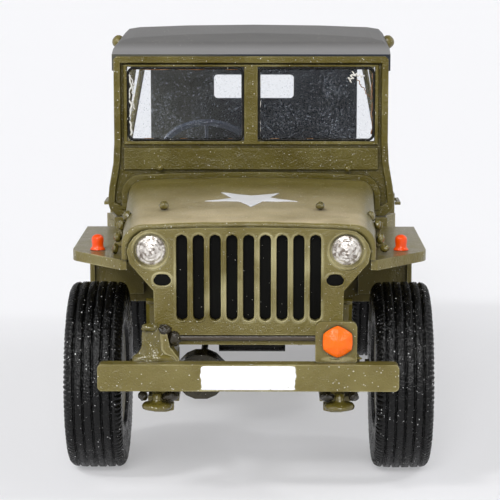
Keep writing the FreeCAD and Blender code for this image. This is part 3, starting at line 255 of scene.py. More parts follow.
def brush_group():
    """Brushed relief and its wide drift: round lumps, a finer grain and a wide swell for the
    height, and a broad noise that says where the coat is thin."""
    group, given, result = node_group("brush_lumps", {"Lumps": 900.0, "Grain": 4200.0},
                                      ["Height", "Drift"])
    place = place_in(group)
    lumps = math_node(group, "MULTIPLY", noise(group, place, given["Lumps"], 2.0), 0.30)
    grain = math_node(group, "MULTIPLY_ADD", noise(group, place, given["Grain"], 1.0), 0.22, lumps)
    swell = math_node(group, "MULTIPLY_ADD", noise(group, place, 260.0, 1.0), 0.5, grain)
    connect(group, result, {"Height": swell, "Drift": noise(group, place, 160.0, 4.0)})
    return group


SPECKS, BRUSH = specks_group(), brush_group()


def brushed_enamel(name, colour, pale, roughness, relief, specks, dust=DUST, shine=0.35, coat=0.22,
                   edge=0.0, coat_roughness=0.10):
    """Enamel that drifts from one colour to a paler one, with relief in millimetres and a
    share of specks of grit; painted shade darkens its corners, and its sharp edges are worn
    thin and pale, with a painted highlight, by the share that edge gives."""
    material, tree, shader = new_material(name, colour, roughness, Specular_IOR_Level=shine,
                                          Coat_Weight=coat, Coat_Roughness=coat_roughness)
    brush = add_node(tree, "Group", {}, node_tree=BRUSH)
    grit = add_node(tree, "Group", {"Share": specks}, node_tree=SPECKS)["Mask"]
    drift = remap(tree, brush["Drift"], DRIFT_FROM, DRIFT_TO)
    dusty = mix(tree, grit, mix(tree, drift, colour, pale), dust)
    # painted shade: darker where the surface is hemmed in by corners
    corners = add_node(tree, "AmbientOcclusion", {"Color": dusty, "Distance": CORNER_REACH * MM},
                       samples=6)
    open_share = remap(tree, corners["AO"], 0.10, 0.60)
    painted = mix(tree, open_share, CORNER_SHADE * np.array(colour), corners["Color"])
    # edges paler: worn thin, and a painted highlight
    if edge:
        rim = add_node(tree, "AmbientOcclusion", {"Distance": EDGE_REACH * MM}, inside=True, samples=6)
        thin = math_node(tree, "MULTIPLY", remap(tree, rim["AO"], 0.88, 0.55, to_high=edge), drift)
        painted = mix(tree, thin, painted, WORN_LIT_EDGE)
    height = math_node(tree, "MULTIPLY_ADD", grit, SPECK_HEIGHT, brush["Height"])
    bump = add_node(tree, "Bump", {"Strength": 1.0, "Distance": relief * MM, "Height": height})
    normal = bump["Normal"]
    rough = remap(tree, brush["Drift"], 0.0, 1.0, roughness - 0.08, roughness + 0.12)
    connect(tree, shader, {"Base Color": painted, "Normal": normal, "Coat Normal": normal,
                           "Roughness": rough})
    return material


def coat_node(node, material, rounding=0.0):
    """Gives a moulded piece its finish, and rounds its sharp edges by a small radius."""
    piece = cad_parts[node]
    piece.data.materials.clear()
    piece.data.materials.append(material)
    if rounding:
        piece.modifiers.new("weld", "WELD").merge_threshold = WELD * MM
        edge = piece.modifiers.new("round", "BEVEL")
        edge.width, edge.segments, edge.harden_normals = rounding * MM, 2, True
        edge.limit_method, edge.angle_limit = "ANGLE", math.radians(ROUND_FROM)


olive_enamel = brushed_enamel("olive_enamel", OLIVE, OLIVE_PALE, roughness=0.34, relief=0.42,
                              specks=0.05, coat=0.26, edge=0.75)
black_enamel = brushed_enamel("black_enamel", (0.006, 0.006, 0.005), (0.014, 0.013, 0.010),
                              roughness=0.22, relief=0.5, specks=0.02, shine=0.10, coat=0.2)
for pieces, material in ((OLIVE_PIECES, olive_enamel), (BLACK_PIECES, black_enamel)):
    for rounding, nodes in pieces.items():
        for node in nodes:
            coat_node(node, material, rounding)

# Thick wet paint makes the parts behind the bumper glossier, in a darker olive; the front axle below
# them is darker still, by painted shade.
wet_olive = brushed_enamel("wet_olive", (0.085, 0.068, 0.010), (0.130, 0.104, 0.020), roughness=0.12,
                           relief=0.30, specks=0.03, shine=0.6)
coat_node("shock_absorbers", wet_olive, 0.08)
coat_node("tie_rod", wet_olive, 0.05)
# painted shade: a darker copy of the olive for the front axle
shaded_olive = brushed_enamel("shaded_olive", (0.030, 0.025, 0.010), (0.055, 0.045, 0.016),
                              roughness=0.25, relief=0.30, specks=0.03)
coat_node("front_axle", shaded_olive, 0.1)

# The seats are painted a lighter, duller olive.
seat_enamel = brushed_enamel("seat_enamel", (0.150, 0.128, 0.045), (0.19, 0.165, 0.07),
                             roughness=0.5, relief=0.3, specks=0.03)
for node in ("driver_seat", "passenger_seat", "rear_bench"):
    coat_node(node, seat_enamel, 0.3)

# The radiator is a dull black darker than the black paint, painted shade, so that the slots in front of
# it look empty.
shade_black = brushed_enamel("shade_black", (0.002, 0.002, 0.0015), (0.004, 0.004, 0.003),
                                roughness=0.5, relief=0.10, specks=0.01, shine=0.06, coat=0.04)
coat_node("radiator", shade_black, 0.1)

# ================================================================ tyres
# Soft vinyl tyres pushed onto their rims and brushed with gloss black: six ribs between five
# narrow grooves, rib edges nicked all round, and notched blocks on both shoulders.
GROOVE_PITCH, GROOVE_HALF, GROOVE_DEPTH = 1.45, 0.17, 0.42
NICK_DEPTH, NICK_OFF, NICK_HALF = 0.10, 0.30, 0.16      # the nicks, off a groove's middle
NOTCHES, NOTCH_DEPTH = 112, 0.34
CROWN, SHOULDER_R = 0.10, 1.25
TREAD_ROUGH, TYRE_STEPS, RIM_SEAT = 0.022, 672, 8.0
SIDE_IN, TREAD_IN, SEAT_CLEAR = 0.03, 0.02, 0.02        # inside the moulded tyre's size
# sidewall: how far in from the widest point, and down from the tread or up from the bead
SIDEWALL_HIGH = ((-0.02, 2.4), (0.0, 3.6), (0.12, 4.8))
SIDEWALL_LOW = ((0.30, 1.2), (0.30, 0.75), (0.65, 0.55), (0.80, 0.0))
# tyre node, the body it turns with, and the axis that it turns about
TYRES = [("tyre_" + wheel, "wheel_" + wheel, 0) for wheel in WHEELS] + [("spare_tyre", "body", 1)]


def box_mm(node):
    """Low and high corner of a moulded piece's box, in millimetres."""
    return [np.array(corner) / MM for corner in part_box(node)]


def dress(piece, material, body="body"):
    """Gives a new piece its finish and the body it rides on."""
    piece.data.materials.append(material)
    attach(piece, body)


def tyre_profile(half_w, radius, bead_r):
    """Cross-section of a tyre as (across, radius) points, closed from bead round to bead:
    upright sidewalls with a slight belly, round shoulders and an almost flat tread."""
    tread_end = half_w - SHOULDER_R
    tread = [(w, radius - CROWN * (w / tread_end) ** 2) for w in np.linspace(0, tread_end, 30)]
    shoulder = [(tread_end + SHOULDER_R * math.cos(a),
                 radius - CROWN - SHOULDER_R + SHOULDER_R * math.sin(a))
                for a in np.radians(np.linspace(90, 8, 12))[1:]]
    sidewall = [(half_w - inwards, radius - down) for inwards, down in SIDEWALL_HIGH]
    sidewall += [(half_w - inwards, bead_r + up) for inwards, up in SIDEWALL_LOW]
    right = np.array(tread + shoulder + sidewall + [(half_w * 0.4, bead_r)])
    return np.concatenate([right, [[0.0, bead_r]], right[1:][::-1] * (-1, 1)])


def tyre_points(half_w, radius, bead_r):
    """Points of a tyre about its own axis.  Height is taken off the profile along its normal:
    a bell-shaped groove at each multiple of the pitch, a soft square wave round the shoulders
    for the notches, and a faster one beside the grooves for the nicks."""
    profile = tyre_profile(half_w, radius, bead_r)
    along = np.roll(profile, -1, axis=0) - np.roll(profile, 1, axis=0)
    normal = np.stack([-along[:, 1], along[:, 0]], axis=1)
    normal /= np.maximum(np.linalg.norm(normal, axis=1, keepdims=True), 1e-9)
    w, r = profile[:, 0], profile[:, 1]
    turn = circle(TYRE_STEPS)[:, None]
    across = w[None, :] + (0.02 * np.sin(17 * turn) + 0.015 * np.sin(41 * turn + 1.3))
    nearest = np.clip(np.round(across / GROOVE_PITCH), -2, 2) * GROOVE_PITCH
    off = np.abs(across - nearest)
    on_tread = (r > radius - 1.6)[None, :]
    groove = np.exp(-(off / GROOVE_HALF) ** 4) * GROOVE_DEPTH
    nick_wave = np.clip(2.2 * np.sin(NOTCHES * 1.5 * turn + 2.1 * np.sign(across) + nearest * 5), -1, 1)
    nicks = NICK_DEPTH * (nick_wave > 0.3) * np.exp(-((off - NICK_OFF) / NICK_HALF) ** 2)
    notch_wave = np.clip(1.8 * np.sin(NOTCHES * turn + 0.35 * np.sin(9 * turn)) - 0.4, 0, 1)
    shoulder = np.clip((np.abs(w) - 2 * GROOVE_PITCH - 0.55) / 0.35, 0, 1)
    shoulder = shoulder * np.clip((r - (radius - 2.3)) / 0.5, 0, 1)
    notches = NOTCH_DEPTH * notch_wave * shoulder[None, :]
    rng = np.random.default_rng(7)
    rough = rng.normal(0, TREAD_ROUGH, (TYRE_STEPS, len(w))) * (r > bead_r + 1.5)[None, :]
    depth = on_tread * (groove + nicks) + notches + rough
    wide = w[None, :] - normal[None, :, 0] * depth
    high = r[None, :] - normal[None, :, 1] * depth
    return np.stack([wide, high * np.cos(turn), high * np.sin(turn)], axis=-1)


tyre_vinyl = brushed_enamel("tyre_vinyl", (0.0015,) * 3, (0.003,) * 3, roughness=0.25, relief=0.6,
                            specks=0.045, dust=(0.75,) * 3, shine=0.05, coat=0.40,
                            coat_roughness=0.05)
for node, body, axis in TYRES:
    low, high = box_mm(node)
    size = high - low
    points = tyre_points(size[axis] / 2 - SIDE_IN, size[2] / 2 - TREAD_IN, RIM_SEAT + SEAT_CLEAR)
    if axis == 1:
        points = points[:, :, (1, 0, 2)] * (-1, 1, 1)
    piece = grid_piece(node + "_dressed", (points + (low + high) / 2) * MM, close_u=True, close_v=True)
    dress(piece, tyre_vinyl, body)
    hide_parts(node)

# ================================================================ blank number plate
# A white rectangle of enamel brushed over the whole height of the bumper, with nothing
# written on it; it bends back over the bumper's rounded edges.
PLATE_HALF_W, PLATE_BULGE, PLATE_SUNK, PLATE_COAT = 7.15, 0.07, 0.01, 0.10
PLATE_SHORT = 0.05                                # how far it stops short of the edges
BEND_FROM, BEND_OVER, BEND_BACK = 0.30, 0.33, 0.20        # its bend over those edges


def shaped(name, x, y, z, **ways):
    """A grid piece from its three coordinates in millimetres, each spread over one grid."""
    return grid_piece(name, np.stack(np.broadcast_arrays(x, y, z), axis=-1) * MM, **ways)


def thicken(piece, label, thickness):
    """Gives a piece that is only an outer surface its underside."""
    skin = piece.modifiers.new(label, "SOLIDIFY")
    skin.thickness, skin.offset = thickness * MM, -1.0


white_enamel = brushed_enamel("white_enamel", (0.78, 0.78, 0.80), (0.66, 0.67, 0.70), roughness=0.32,
                              relief=0.04, specks=0.012, dust=(0.35, 0.33, 0.25))
bumper_low, bumper_high = box_mm("front_bumper")
# shares of its width and height, from -1 to 1; its border wavers by a few sines
u, v = grid(np.linspace(-1, 1, 81), np.linspace(-1, 1, 31))
plate_x = u * (PLATE_HALF_W + 0.09 * np.sin(4.1 * v + 0.6) + 0.05 * np.sin(11 * v))
plate_mid = (bumper_low[2] + bumper_high[2]) / 2
plate_half = (bumper_high[2] - bumper_low[2]) / 2 - PLATE_SHORT
plate_z = plate_mid + v * (plate_half + 0.05 * np.sin(9 * u + 1.0) + 0.03 * np.sin(23 * u))
over_edge = np.clip((np.abs(plate_z - plate_mid) - plate_half + BEND_FROM) / BEND_OVER, 0, 1)
border_fall = 1 - np.maximum(np.abs(u), np.abs(v)) ** 16
plate_y = bumper_low[1] - PLATE_BULGE * border_fall + PLATE_SUNK + BEND_BACK * over_edge ** 2
plate = shaped("blank_plate", plate_x, plate_y, plate_z)
thicken(plate, "coat", PLATE_COAT)
dress(plate, white_enamel)

# ================================================================ hood
# One thin styrene moulding, cemented down, with a low crown and round shoulders; its front
# edge is rolled in over the grille.
hood_low, hood_high = box_mm("hood")
# crease, side and top at the nose and at the cowl
NOSE, COWL = np.array([15.5, 19.5, 42.0]), np.array([18.9, 21.3, 43.4])
CROWN_END, SHOULDER_END = 0.62, 0.84      # shares of the girth, from the middle to the foot
CROWN_FALL, SHOULDER_FALL, ROUNDNESS = 0.025, 0.96, 0.92
ROLL, LIP, HOOD_SKIN = 0.5, 1.1, 0.45     # radius of the rolled edge, how far in it reaches
NOSE_DIP, DIP_LENGTH, DIP_LEVEL = 0.55, 4.5, 0.1      # the bend down to the front edge
RISE_END, RISE_FADE = 0.80, 0.18          # the unevenness dies out here over the shoulder
# dust, and a painted reflection of the pale surroundings, lie on what faces up, thickest at the front
# edge
DUST_AND_SHEEN, DUST_AND_SHEEN_REACH, DUST_AND_SHEEN_MOST = (0.72, 0.60, 0.40), 33, 1.1


def hood_station(y):
    """Crease, side and top of the hood at a place along it, in a straight line from nose to
    cowl."""
    share = (y - hood_low[1]) / (hood_high[1] - hood_low[1])
    return (NOSE[k] + (COWL[k] - NOSE[k]) * share for k in range(3))


def hood_surface(across, y, inset=0.0):
    """Point of the hood's outside: a share from -1 to 1 of its girth, and a place along it.
    The crown is a parabola out to the crease, the shoulder a quarter of a squashed circle,
    and the side runs straight down to the fender."""
    crease, side, top = hood_station(y)
    crease, side, top = crease - 0.4 * inset, side - inset, top - inset
    rise = CROWN_FALL * crease
    drop = SHOULDER_FALL * (side - crease)
    s = np.abs(across)
    crown_x, crown_z = s / CROWN_END * crease, top - rise * (s / CROWN_END) ** 2
    t = np.clip((s - CROWN_END) / (SHOULDER_END - CROWN_END), 0, 1) * np.pi / 2
    round_x = crease + (side - crease) * np.sin(t) ** ROUNDNESS
    round_z = top - rise - drop * (1 - np.cos(t) ** ROUNDNESS)
    foot = np.clip((s - SHOULDER_END) / (1 - SHOULDER_END), 0, 1)
    wall_z = (top - rise - drop) * (1 - foot) + hood_low[2] * foot
    x = np.where(s < CROWN_END, crown_x, np.where(s < SHOULDER_END, round_x, side))
    z = np.where(s < CROWN_END, crown_z, np.where(s < SHOULDER_END, round_z, wall_z))
    return np.sign(across) * x, z


def hood_rise(x, y):
    """Slow unevenness of a hand-painted panel, by sines of both places, and the bend down to
    its front edge, by an exponential of the distance."""
    uneven = 0.035 * np.sin(0.55 * x + 0.9 * np.sin(0.31 * y)) * np.sin(0.43 * y + 1.1)
    uneven = uneven + 0.02 * np.sin(1.3 * x - 0.7 * y)
    return uneven + (NOSE_DIP * (1 - np.exp(-(y - hood_low[1]) / DIP_LENGTH)) - DIP_LEVEL)


def split(tree, kind="Object"):
    """X, Y and Z of the place on the piece, or of the way that its surface looks."""
    return add_node(tree, "SeparateXYZ", {0: place_in(tree, kind)})


def paint_over(material, share, colour):
    """Lays another colour over a finished enamel, by a share that changes over the surface."""
    tree, shader = material.node_tree, material.node_tree.nodes["Principled BSDF"]
    painted = shader.inputs["Base Color"].links[0].from_socket
    connect(tree, shader, {"Base Color": mix(tree, share, painted, colour)})


turn_in = np.linspace(0, np.pi / 2, 7)
rows_y = np.concatenate([[hood_low[1]], hood_low[1] + ROLL * (1 - np.cos(turn_in)),
                         np.linspace(hood_low[1] + ROLL, hood_high[1], 60)[1:]])
rows_in = np.concatenate([[LIP], ROLL * (1 - np.sin(turn_in)), np.zeros(59)])
across, along = grid(np.linspace(-1, 1, 161), rows_y)
hood_x, hood_z = hood_surface(across, along, np.broadcast_to(rows_in[None, :], along.shape))
hood_z = hood_z + hood_rise(hood_x, along) * np.clip((RISE_END - np.abs(across)) / RISE_FADE, 0, 1)
hood = shaped("hood_panel", hood_x, along, hood_z)
thicken(hood, "skin", HOOD_SKIN)
hood_enamel = brushed_enamel("hood_enamel", OLIVE, OLIVE_PALE, roughness=0.38, relief=0.45, specks=0.06,
                             edge=0.6)
hood_tree = hood_enamel.node_tree
# dust and a painted reflection on the faces that look up, most at the front edge
fade = remap(hood_tree, split(hood_tree)["Y"], (hood_low[1] + DUST_AND_SHEEN_REACH) * MM, hood_low[1] * MM,
             to_high=DUST_AND_SHEEN_MOST)
flat = remap(hood_tree, split(hood_tree, "Normal")["Z"], 0.75, 0.98)
dust_and_sheen_share = math_node(hood_tree, "MULTIPLY", fade, flat)
clouds = noise(hood_tree, place_in(hood_tree), 120.0, 4.0)
paint_over(hood_enamel, math_node(hood_tree, "MULTIPLY", dust_and_sheen_share, clouds), DUST_AND_SHEEN)
dress(hood, hood_enamel)
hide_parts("hood")

# ================================================================ star on the hood
# A five-pointed star of white enamel brushed on by hand: straight edges between points and
# notches, which waver a little, and a coat that thins out at its border.
STAR_R, STAR_NOTCH, STAR_BACK, STAR_LEFT = 8.1, 0.40, 27.4, 0.2
STAR_WIDE, STAR_LONG = 1.01, 0.9                  # stretched across and along
STAR_COAT, STAR_SWELL, STAR_CLEAR = 0.05, 0.045, 0.012
phi, ring = grid(circle(240), np.linspace(0.02, 1, 26))
sector = np.pi / 5
angle = np.abs((phi + sector) % (2 * sector) - sector)
notch_x, notch_y = STAR_NOTCH * math.cos(sector), STAR_NOTCH * math.sin(sector)
edge_r = notch_y / (notch_y * np.cos(angle) + (1 - notch_x) * np.sin(angle))
waver = 1 + 0.018 * np.sin(7 * phi + 1) + 0.012 * np.sin(19 * phi) + 0.03 * np.sin(2 * phi + 0.5)
radius = STAR_R * ring * edge_r * waver
star_x = radius * np.sin(phi) * STAR_WIDE + STAR_LEFT
star_y = bumper_low[1] + STAR_BACK - STAR_LONG * radius * np.cos(phi)
crease, _, top = hood_station(star_y)
star_z = (top - CROWN_FALL * crease * (star_x / crease) ** 2 + hood_rise(star_x, star_y)
          + STAR_SWELL * (1 - ring ** 14) + STAR_CLEAR)
star = shaped("hood_star", star_x.T, star_y.T, star_z.T, close_v=True, caps=True, flip=True)
thicken(star, "coat", STAR_COAT)
dress(star, white_enamel)

# ================================================================ pressed edges of the grille
# Every slot and marker hole of the moulded grille has a round pressed edge: a thin closed
# bar half sunk in the face.  A marker hole's floor is a shallow bowl of painted shade, dull black.
SLOT_COUNT, SLOT_PITCH, SLOT_HALF, SLOT_LOW, SLOT_HIGH = 9, 2.56, 1.02, 26.45, 40.2
HOLE_X, HOLE_Z, HOLE_HALF_W, HOLE_HALF_H, HOLE_ROUND = 13.25, 33.0, 1.50, 1.06, 0.85
HOLE_FLOOR, FLOOR_BOWL = 0.55, 0.35
EDGE_R, SLOT_SUNK, HOLE_SUNK = 0.17, 0.10, 0.08
BACK = (0, 1, 0)
SIDES = ((-1, "right"), (1, "left"))


def bent_bar(name, path, radius, closed=False, sides=10):
    """A round bar along a path in an upright plane: at each point a circle stands across the
    path, spanned by the way back and the direction at right angles to it."""
    path, normal = np.array(path, float), np.array(BACK, float)
    looped = np.roll(path, -1, axis=0) - np.roll(path, 1, axis=0)
    ahead = looped if closed else np.gradient(path, axis=0)
    across = np.cross(normal, ahead / np.linalg.norm(ahead, axis=1, keepdims=True))
    turn = circle(sides)
    points = (path[:, None] + radius * np.cos(turn)[None, :, None] * across[:, None]
              + radius * np.sin(turn)[None, :, None] * normal)
    return grid_piece(name, points * MM, close_u=closed, close_v=True, caps=not closed, flip=True)


grille_front = box_mm("grille")[0][1]
arc = np.radians(np.linspace(0, 180, 17))
for k in range(SLOT_COUNT):
    middle = (k - (SLOT_COUNT - 1) / 2) * SLOT_PITCH
    path = [(middle + way * SLOT_HALF * math.cos(a), grille_front + SLOT_SUNK,
             end - way * SLOT_HALF + way * SLOT_HALF * math.sin(a))
            for way, end in ((1, SLOT_HIGH), (-1, SLOT_LOW)) for a in arc]
    dress(bent_bar("slot_edge_" + str(k + 1), path, EDGE_R, closed=True), olive_enamel)
turn = circle(48)
bean_x = HOLE_HALF_W * np.sign(np.cos(turn)) * np.abs(np.cos(turn)) ** HOLE_ROUND
bean_z = HOLE_HALF_H * np.sign(np.sin(turn)) * np.abs(np.sin(turn)) ** HOLE_ROUND
share = np.array([0.02, 0.4, 0.75, 1.0])[:, None]
for side, label in SIDES:
    path = [(side * HOLE_X + x, grille_front + HOLE_SUNK, HOLE_Z + z) for x, z in zip(bean_x, bean_z)]
    dress(bent_bar("marker_hole_edge_" + label, path, EDGE_R, closed=True), olive_enamel)
    bowl = shaped("marker_hole_shade_floor_" + label, side * HOLE_X + share * bean_x,
                  grille_front + HOLE_FLOOR - FLOOR_BOWL * share ** 3, HOLE_Z + share * bean_z,
                  close_v=True, caps=True, flip=True)
    dress(bowl, shade_black)

# ================================================================ headlamps
# Ringed lenses painted silver, with a granular sparkle, cemented into round bezels that are
# moulded with the grille.
LENS_R, LENS_RISE, LENS_BACK, LENS_THICK = 2.40, 0.55, 0.75, 0.5
LENS_RINGS, RING_RISE = 4.5, 0.025        # moulded rings from middle to border
BOWL_R = 2.86
# bezel: a rounded brim, then a cone in to the lens; how far ahead of the grille, and radius
BRIM = ((-1.0, BOWL_R - 0.05), (-0.02, BOWL_R + 0.12), (0.08, BOWL_R + 0.06), (0.12, BOWL_R - 0.04),
        (0.09, BOWL_R - 0.15), (-0.02, BOWL_R - 0.24), (-0.55, LENS_R + 0.16), (-0.95, LENS_R + 0.02))
SILVER, SILVER_DARK, SILVER_PALE = (0.68, 0.65, 0.61), (0.20, 0.165, 0.135), (0.76, 0.72, 0.67)


def turned(name, profile, centre, axis, steps=64):
    """A closed surface of revolution: a profile of (along, radius) turned about a line through
    centre, along X, Y or Z by an axis of length 1; both ends are closed flat."""
    axis = np.array(axis, float)
    helper = np.array([0.0, 0.0, 1.0]) if abs(axis[2]) < 0.9 else np.array([1.0, 0.0, 0.0])
    side = np.cross(helper, axis)
    turn = circle(steps)[:, None]
    ring = np.cos(turn) * side + np.sin(turn) * np.cross(axis, side)
    profile = np.array(profile, float)
    points = centre + profile[:, 0, None, None] * axis + profile[:, 1, None, None] * ring[None]
    return grid_piece(name, points * MM, close_v=True, caps=True, flip=True)


def sparkling_silver():
    """Silver paint seen through a moulded lens: each small cell of the pattern is tilted its
    own way, so that some flash and some stay grey."""
    material, tree, shader = new_material("lamp_silver", SILVER, 0.30, Metallic=0.70, Coat_Weight=0.6,
                                          Coat_Roughness=0.05)
    place = place_in(tree)
    cells = add_node(tree, "TexVoronoi", {"Vector": place, "Scale": 2300.0})
    chance = add_node(tree, "SeparateColor", {"Color": cells["Color"]})["Green"]
    mixed = math_node(tree, "MULTIPLY_ADD", chance, 0.45, noise(tree, place, 1100.0, 2.0))
    bump = add_node(tree, "Bump", {"Distance": 0.05 * MM, "Height": cells["Distance"]})
    painted = mix(tree, remap(tree, mixed, 0.50, 0.85), SILVER_DARK, SILVER_PALE)
    connect(tree, shader, {"Base Color": painted, "Normal": bump["Normal"]})
    return material


lamp_silver = sparkling_silver()
lens_low, lens_high = box_mm("headlamp_lenses")
lens_x, lens_z = lens_high[0] - (lens_high[2] - lens_low[2]) / 2, (lens_low[2] + lens_high[2]) / 2
arc = np.linspace(1, 0.03, 34)
rings = RING_RISE * np.cos(2 * np.pi * LENS_RINGS * arc) * (arc < 0.97)
lens_profile = [(-LENS_THICK, LENS_R * 0.98), *zip(LENS_RISE * (1 - arc ** 2) + rings, LENS_R * arc)]
turn = circle(64)[:, None]
ahead, brim_r = np.array(BRIM).T
for side, label in SIDES:
    lens_centre = np.array([side * lens_x, grille_front + LENS_BACK, lens_z])
    lens = turned("headlamp_lens_" + label, lens_profile, lens_centre, (0, -1, 0), 72)
    dress(lens, lamp_silver)
    if label == "right":
        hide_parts("headlamp_lenses")
    bezel = shaped("headlamp_bowl_" + label, side * lens_x + brim_r * np.cos(turn),
                   grille_front - ahead, lens_z + brim_r * np.sin(turn), close_u=True, close_v=True,
                   flip=True)
    dress(bezel, olive_enamel)

# ================================================================ marker lamps and signal lamp
# Styrene lamps painted gloss orange: two bullets cemented on the fenders, and a six-sided
# one on its plate at the front.
ORANGE, RED_ORANGE = (0.80, 0.130, 0.004), (0.76, 0.065, 0.002)
RED_THIN, RED_THICK = (0.84, 0.085, 0.002), (0.64, 0.040, 0.002)
BULLET_SLIM, BULLET_SHOULDER = 0.80, 1.7       # share of the foot's radius; height of the wall
SIGNAL_STEPS, SIGNAL_CORNER, FACET = 96, 1.12, 0.16
# share of the outline and height of each ring, from the plate out to the middle of the face
SIGNAL_RINGS = ((1.0, 0.0), (1.02, 0.35), (0.98, 0.62), (0.86, 0.92), (0.66, 1.16), (0.40, 1.34),
                (0.15, 1.40), (0.03, 1.41))

orange, orange_tree, orange_shader = new_material("orange_enamel", ORANGE, 0.14, Specular_IOR_Level=0.3)
lumps = add_node(orange_tree, "Group", {"Lumps": 700.0}, node_tree=BRUSH)
bump = add_node(orange_tree, "Bump", {"Distance": 0.35 * MM, "Height": lumps["Height"]})
connect(orange_tree, orange_shader, {"Normal": bump["Normal"]})
red_orange, red_tree, red_shader = new_material("red_orange_enamel", RED_ORANGE, 0.30, Coat_Weight=0.45,
                                                Coat_Roughness=0.04, Specular_IOR_Level=0.15)
red_drift = add_node(red_tree, "Group", {}, node_tree=BRUSH)["Drift"]
connect(red_tree, red_shader, {"Base Color": mix(red_tree, red_drift, RED_THIN, RED_THICK)})

lamps_low, lamps_high = box_mm("fender_lamps")
lamp_r, lamp_y = (lamps_high[1] - lamps_low[1]) / 2, (lamps_low[1] + lamps_high[1]) / 2
dome_tall, wall_r = lamps_high[2] - lamps_low[2] - BULLET_SHOULDER, BULLET_SLIM * lamp_r
bullet_profile = [(0.0, lamp_r), (0.12, lamp_r * 0.99), (0.32, wall_r * 1.08), (0.55, wall_r * 0.92),
                  (1.0, wall_r * 0.94), (1.35, wall_r), (BULLET_SHOULDER, wall_r * 0.99)]
bullet_profile += [(BULLET_SHOULDER + dome_tall * math.sin(a), wall_r * max(math.cos(a), 0.05))
                   for a in np.linspace(0.15, np.pi / 2, 8)]
for side, label in SIDES:
    foot = (side * (lamps_high[0] - lamp_r), lamp_y, lamps_low[2])
    bullet = turned("fender_lamp_" + label, bullet_profile, foot, (0, 0, 1), 32)
    dress(bullet, red_orange)
    if label == "right":
        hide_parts("fender_lamps")

signal_low, signal_high = box_mm("signal_lamp")
signal_mid = (signal_low + signal_high) / 2
flat_r = (signal_high[0] - signal_low[0]) / 2
phi = circle(SIGNAL_STEPS)
# six flat sides, with their corners cut off round by a circle a little wider
six = flat_r / np.cos((phi % (np.pi / 3)) - np.pi / 6)
six = 1 / ((1 / six) ** 8 + (1 / (flat_r * SIGNAL_CORNER)) ** 8) ** (1 / 8)
share, height = (np.array(column)[:, None] for column in zip(*SIGNAL_RINGS))
facets = FACET * np.abs(np.cos(3 * phi + np.pi / 2))[None, :] * (share > 0.5) * (share < 0.95)
signal = shaped("signal_lamp_face", signal_mid[0] + share * six * np.sin(phi),
                signal_high[1] - height + facets, signal_mid[2] + share * six * np.cos(phi),
                close_v=True, caps=True)
dress(signal, orange)
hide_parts("signal_lamp")

# ================================================================ blobs of glue
# Cement and thick paint left at the joints: each blob is an oval whose radius swells and dips
# with a few sine waves round it.
# middle across, along from the front of the bumper, height; half sizes; wave; finish
BLOBS = ((-12.9, 3.3, 26.3, 1.5, 0.9, 0.8, 2, 1), (-11.2, 3.4, 25.0, 1.0, 0.7, 1.1, 3, 1),
         (-14.9, 2.7, 26.8, 1.2, 0.9, 0.6, 4, 0), (13.6, 1.9, 22.3, 3.2, 0.5, 0.4, 11, 0),
         (-13.4, 18.3, 43.2, 0.75, 0.9, 0.65, 19, 0), (11.2, 18.3, 43.2, 0.7, 0.9, 0.6, 20, 0),
         (-19.4, 21.5, 41.0, 0.7, 0.8, 0.9, 21, 0), (-20.2, 21.0, 39.7, 0.6, 0.6, 0.8, 22, 0),
         (19.3, 21.5, 41.0, 0.7, 0.8, 0.9, 23, 0), (20.3, 21.0, 39.8, 0.6, 0.6, 0.7, 24, 0),
         (-20.5, 15.6, 38.6, 0.65, 0.8, 0.7, 25, 0), (-20.9, 15.4, 36.8, 0.5, 0.7, 0.8, 26, 0),
         (20.5, 15.6, 38.4, 0.65, 0.8, 0.8, 27, 0), (21.2, 15.4, 36.9, 0.7, 0.7, 0.6, 28, 0),
         (-15.7, 50.3, 45.5, 0.55, 0.5, 0.5, 29, 0), (16.8, 50.3, 45.4, 0.5, 0.5, 0.5, 30, 0),
         (-11.9, 2.6, 16.2, 1.2, 0.9, 0.75, 15, 1), (11.9, 2.6, 16.2, 1.1, 0.9, 0.75, 16, 1),
         (-15.9, 2.6, 16.3, 0.75, 0.9, 0.7, 17, 1), (15.9, 2.6, 16.3, 0.8, 0.9, 0.7, 18, 1))
HOOD_BLOCK = 5                  # the blob that takes the place of the moulded hood blocks
# the horn behind the bumper: height, half width, half depth and shift of each ring
HORN_X, HORN_BACK = -14.4, 3.4
HORN_RINGS = ((21.6, 3.5, 1.7, 0.3), (22.3, 3.1, 1.6, 0.3), (22.7, 2.3, 1.35, 0.1),
              (23.4, 1.95, 1.2, 0.0), (24.3, 1.75, 1.1, -0.05), (25.4, 1.6, 1.05, 0.0),
              (26.4, 1.65, 1.0, 0.1), (27.0, 1.35, 0.85, 0.1), (27.25, 0.6, 0.4, 0.1),
              (27.27, 0.1, 0.1, 0.1))
# spring pins: their place, and height and radius of each ring, a mushroom head and its stem
PIN_X, PIN_BACK, PIN_Z = 13.8, 2.4, 14.4
PIN_RINGS = ((0.0, 1.9), (0.10, 2.2), (0.45, 2.3), (0.80, 2.1), (0.98, 1.4), (1.05, 0.85), (1.5, 0.72),
             (2.4, 0.78))
STRIP_HALF_W, STRIP_R, STRIP_BACK, STRIP_Z = 12.4, 0.5, 0.75, 23.9

dark_glue = brushed_enamel("dark_glue", (0.010, 0.008, 0.005), (0.040, 0.032, 0.016), roughness=0.12,
                           relief=0.6, specks=0.03, shine=0.25, coat=0.5)
north, round_it = grid(np.linspace(0.06, np.pi - 0.06, 22), circle(32))
for number, (x, y, z, rx, ry, rz, wave, finish) in enumerate(BLOBS, 1):
    swell = (1 + 0.11 * np.sin(3 * round_it + wave) * np.sin(2 * north + 0.7 * wave)
             + 0.06 * np.sin(5 * round_it - 2 * wave) * np.sin(4 * north))
    blob = shaped("glue_blob_" + str(number), x + rx * swell * np.sin(north) * np.cos(round_it),
                  bumper_low[1] + y + ry * swell * np.sin(north) * np.sin(round_it),
                  z + rz * swell * np.cos(north), close_v=True, caps=True)
    dress(blob, (wet_olive, dark_glue)[finish])
    if number == HOOD_BLOCK:
        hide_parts("hood_blocks")

